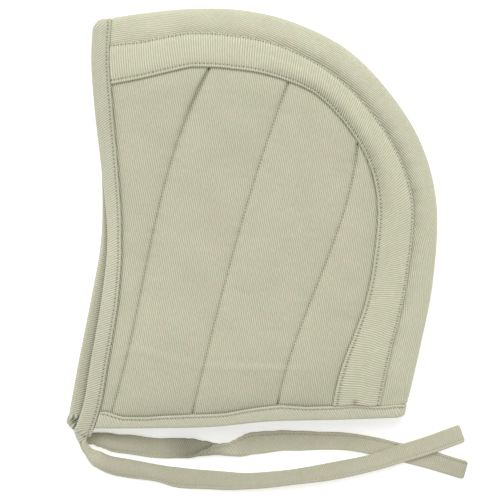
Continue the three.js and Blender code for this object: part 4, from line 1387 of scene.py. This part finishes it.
def makePanel(name, side, facing, outside, inside, flatness):
    field, pads, plan, railColumns = panelPlan(side, flatness)
    before = len(padding["rim"])
    inField = tuple(slice(before, before + size) for size in field.shape[:2])

    def overField(values, elsewhere=0.0):
        whole = np.full(plan.shape[:2], elsewhere)
        whole[inField] = values
        return whole

    rows = np.linspace(0, 1, field.shape[1])
    gap, phase, pull, foot = seamReach(field, [field[column] for column in railColumns[1:-1]])
    endGap = np.minimum(rows, 1 - rows) * np.linalg.norm(field[:, 0] - field[:, -1], axis=-1)[:, None]
    leftGap = np.linalg.norm(field - field[:1], axis=-1)
    rightGap = np.linalg.norm(field - field[-1:], axis=-1)
    calm = smoothstep(endGap, 0, padding["calmEnds"])
    for sideGap in (leftGap, rightGap):
        calm = calm * smoothstep(sideGap, 0, padding["calmSides"])
    calm = overField(calm)
    borderGap = overField(np.minimum(np.minimum(endGap, leftGap), rightGap))
    seamGap, phase, pull, foot = overField(gap, farAway), overField(phase), overField(pull), overField(foot)
    pad, sewn = overField(pads), overField(1)

    x, y = plan[..., 0], plan[..., 1]
    size = padding["waveSize"]
    wave = padding["wave"] * (softNoise(x, y, size, 3) + 0.5 * softNoise(x, y, size / 2, 4)) * calm
    sizeAlong, sizeAway = padding["puckerSize"]
    pucker = padding["pucker"] * softNoise(phase * padding["pitch"] / sizeAlong, seamGap / sizeAway, 1, 7)
    pucker *= np.exp(-seamGap / padding["puckerReach"]) * smoothstep(calm, 0, 0.5)
    valley = padding["valley"] * hill(seamGap, padding["valleyWidth"])
    valley += padding["flank"] * hill(seamGap, padding["flankWidth"])
    half = strips["edgeCloth"] / 2
    outerRelief = half + outside * pad - (valley - pucker) * sewn
    innerRelief = half + inside * pad - (valley * 0.8 - pucker) * sewn
    # painted shade along the borders of the field and the quilting seams, where the cloth dips
    paintedShading = 0
    for (strength, width), distance in ((padding["paintedBorderShade"], borderGap), (padding["paintedSeamShade"], seamGap)):
        paintedShading = paintedShading + strength * hill(distance, width)
    middle = raised(side, plan)
    if side is nearSide:
        relief = creaseRelief(x, y) * sewn
        middle[..., 2] += wave
        outerRelief = outerRelief - pull + relief
        # painted shade in the pulled seam tops and at the seams' feet; painted light on crease ridges and
        # painted shade in crease valleys
        paintedShading = paintedShading + padding["paintedPullShade"] * np.clip(pull, 0, 2.5) + foot - padding["paintedReliefShading"] * relief
    else:
        outerRelief = np.minimum(outerRelief, half + padding["farOutside"])
    normals = gridNormals(middle) * facing
    outer = middle + normals * outerRelief[..., None]
    inner = middle - normals * innerRelief[..., None]
    weave = weaveMap(y, x + padding["ribLean"] * y)
    piece = makeBody(name + "_padding", outer, inner, weave, stitchMap(phase, seamGap), paintedShading)
    finishPiece(piece, panelTwill, "panel_twill", name)
    lines = []
    part = slice(before + 2, before + field.shape[1] - 2)
    for column in railColumns[1:-1]:
        lines += bothFaces(outer, inner, normals, column + before, part, padding["pitch"])
    makeStitches(name + "_quilting", lines, "panel_twill")
    print(f"{name}: {plan.shape[0]} by {plan.shape[1]} places")


makePanel("side_panel_near", nearSide, -1, padding["outside"], padding["inside"], 1)
makePanel("side_panel_far", farSide, 1, padding["farOutside"], padding["farInside"], 1.25)

# Pale floor and soft studio light
studio = {
    "floorSize": 6,
    "floorColour": (0.9, 0.9, 0.9),
    "floorGlow": 0.4,
    "skyStrength": 0.62,
    "sunStrength": 1.35,
    "sunAngle": 55,  # how soft the main light is, degrees across
    "sunFrom": (-0.12, 0.75, 1.0),
}


def makeStudio():
    bpy.ops.object.select_all(action="DESELECT")
    bpy.ops.mesh.primitive_plane_add(size=studio["floorSize"], location=(0, 0, 0))
    floor = bpy.context.object
    floor.name = "floor"
    paper, _, shader = newMaterial("paper")
    shader.inputs["Base Color"].default_value = (*studio["floorColour"], 1)
    shader.inputs["Roughness"].default_value = 0.8
    shader.inputs["Specular IOR Level"].default_value = 0.1
    shader.inputs["Emission Color"].default_value = (1, 1, 1, 1)
    shader.inputs["Emission Strength"].default_value = studio["floorGlow"]
    floor.data.materials.append(paper)
    world = bpy.data.worlds.new("studio")
    world.use_nodes = True
    sky = world.node_tree.nodes["Background"]
    sky.inputs["Color"].default_value = (1, 1, 1, 1)
    sky.inputs["Strength"].default_value = studio["skyStrength"]
    bpy.context.scene.world = world
    sunData = bpy.data.lights.new("main_light", "SUN")
    sunData.energy = studio["sunStrength"]
    sunData.angle = math.radians(studio["sunAngle"])
    sun = addObject("main_light", sunData)
    sun.rotation_euler = Vector(studio["sunFrom"]).to_track_quat("Z", "Y").to_euler()
    bpy.context.scene.view_settings.view_transform = "Standard"


makeStudio()
print("studio lit")
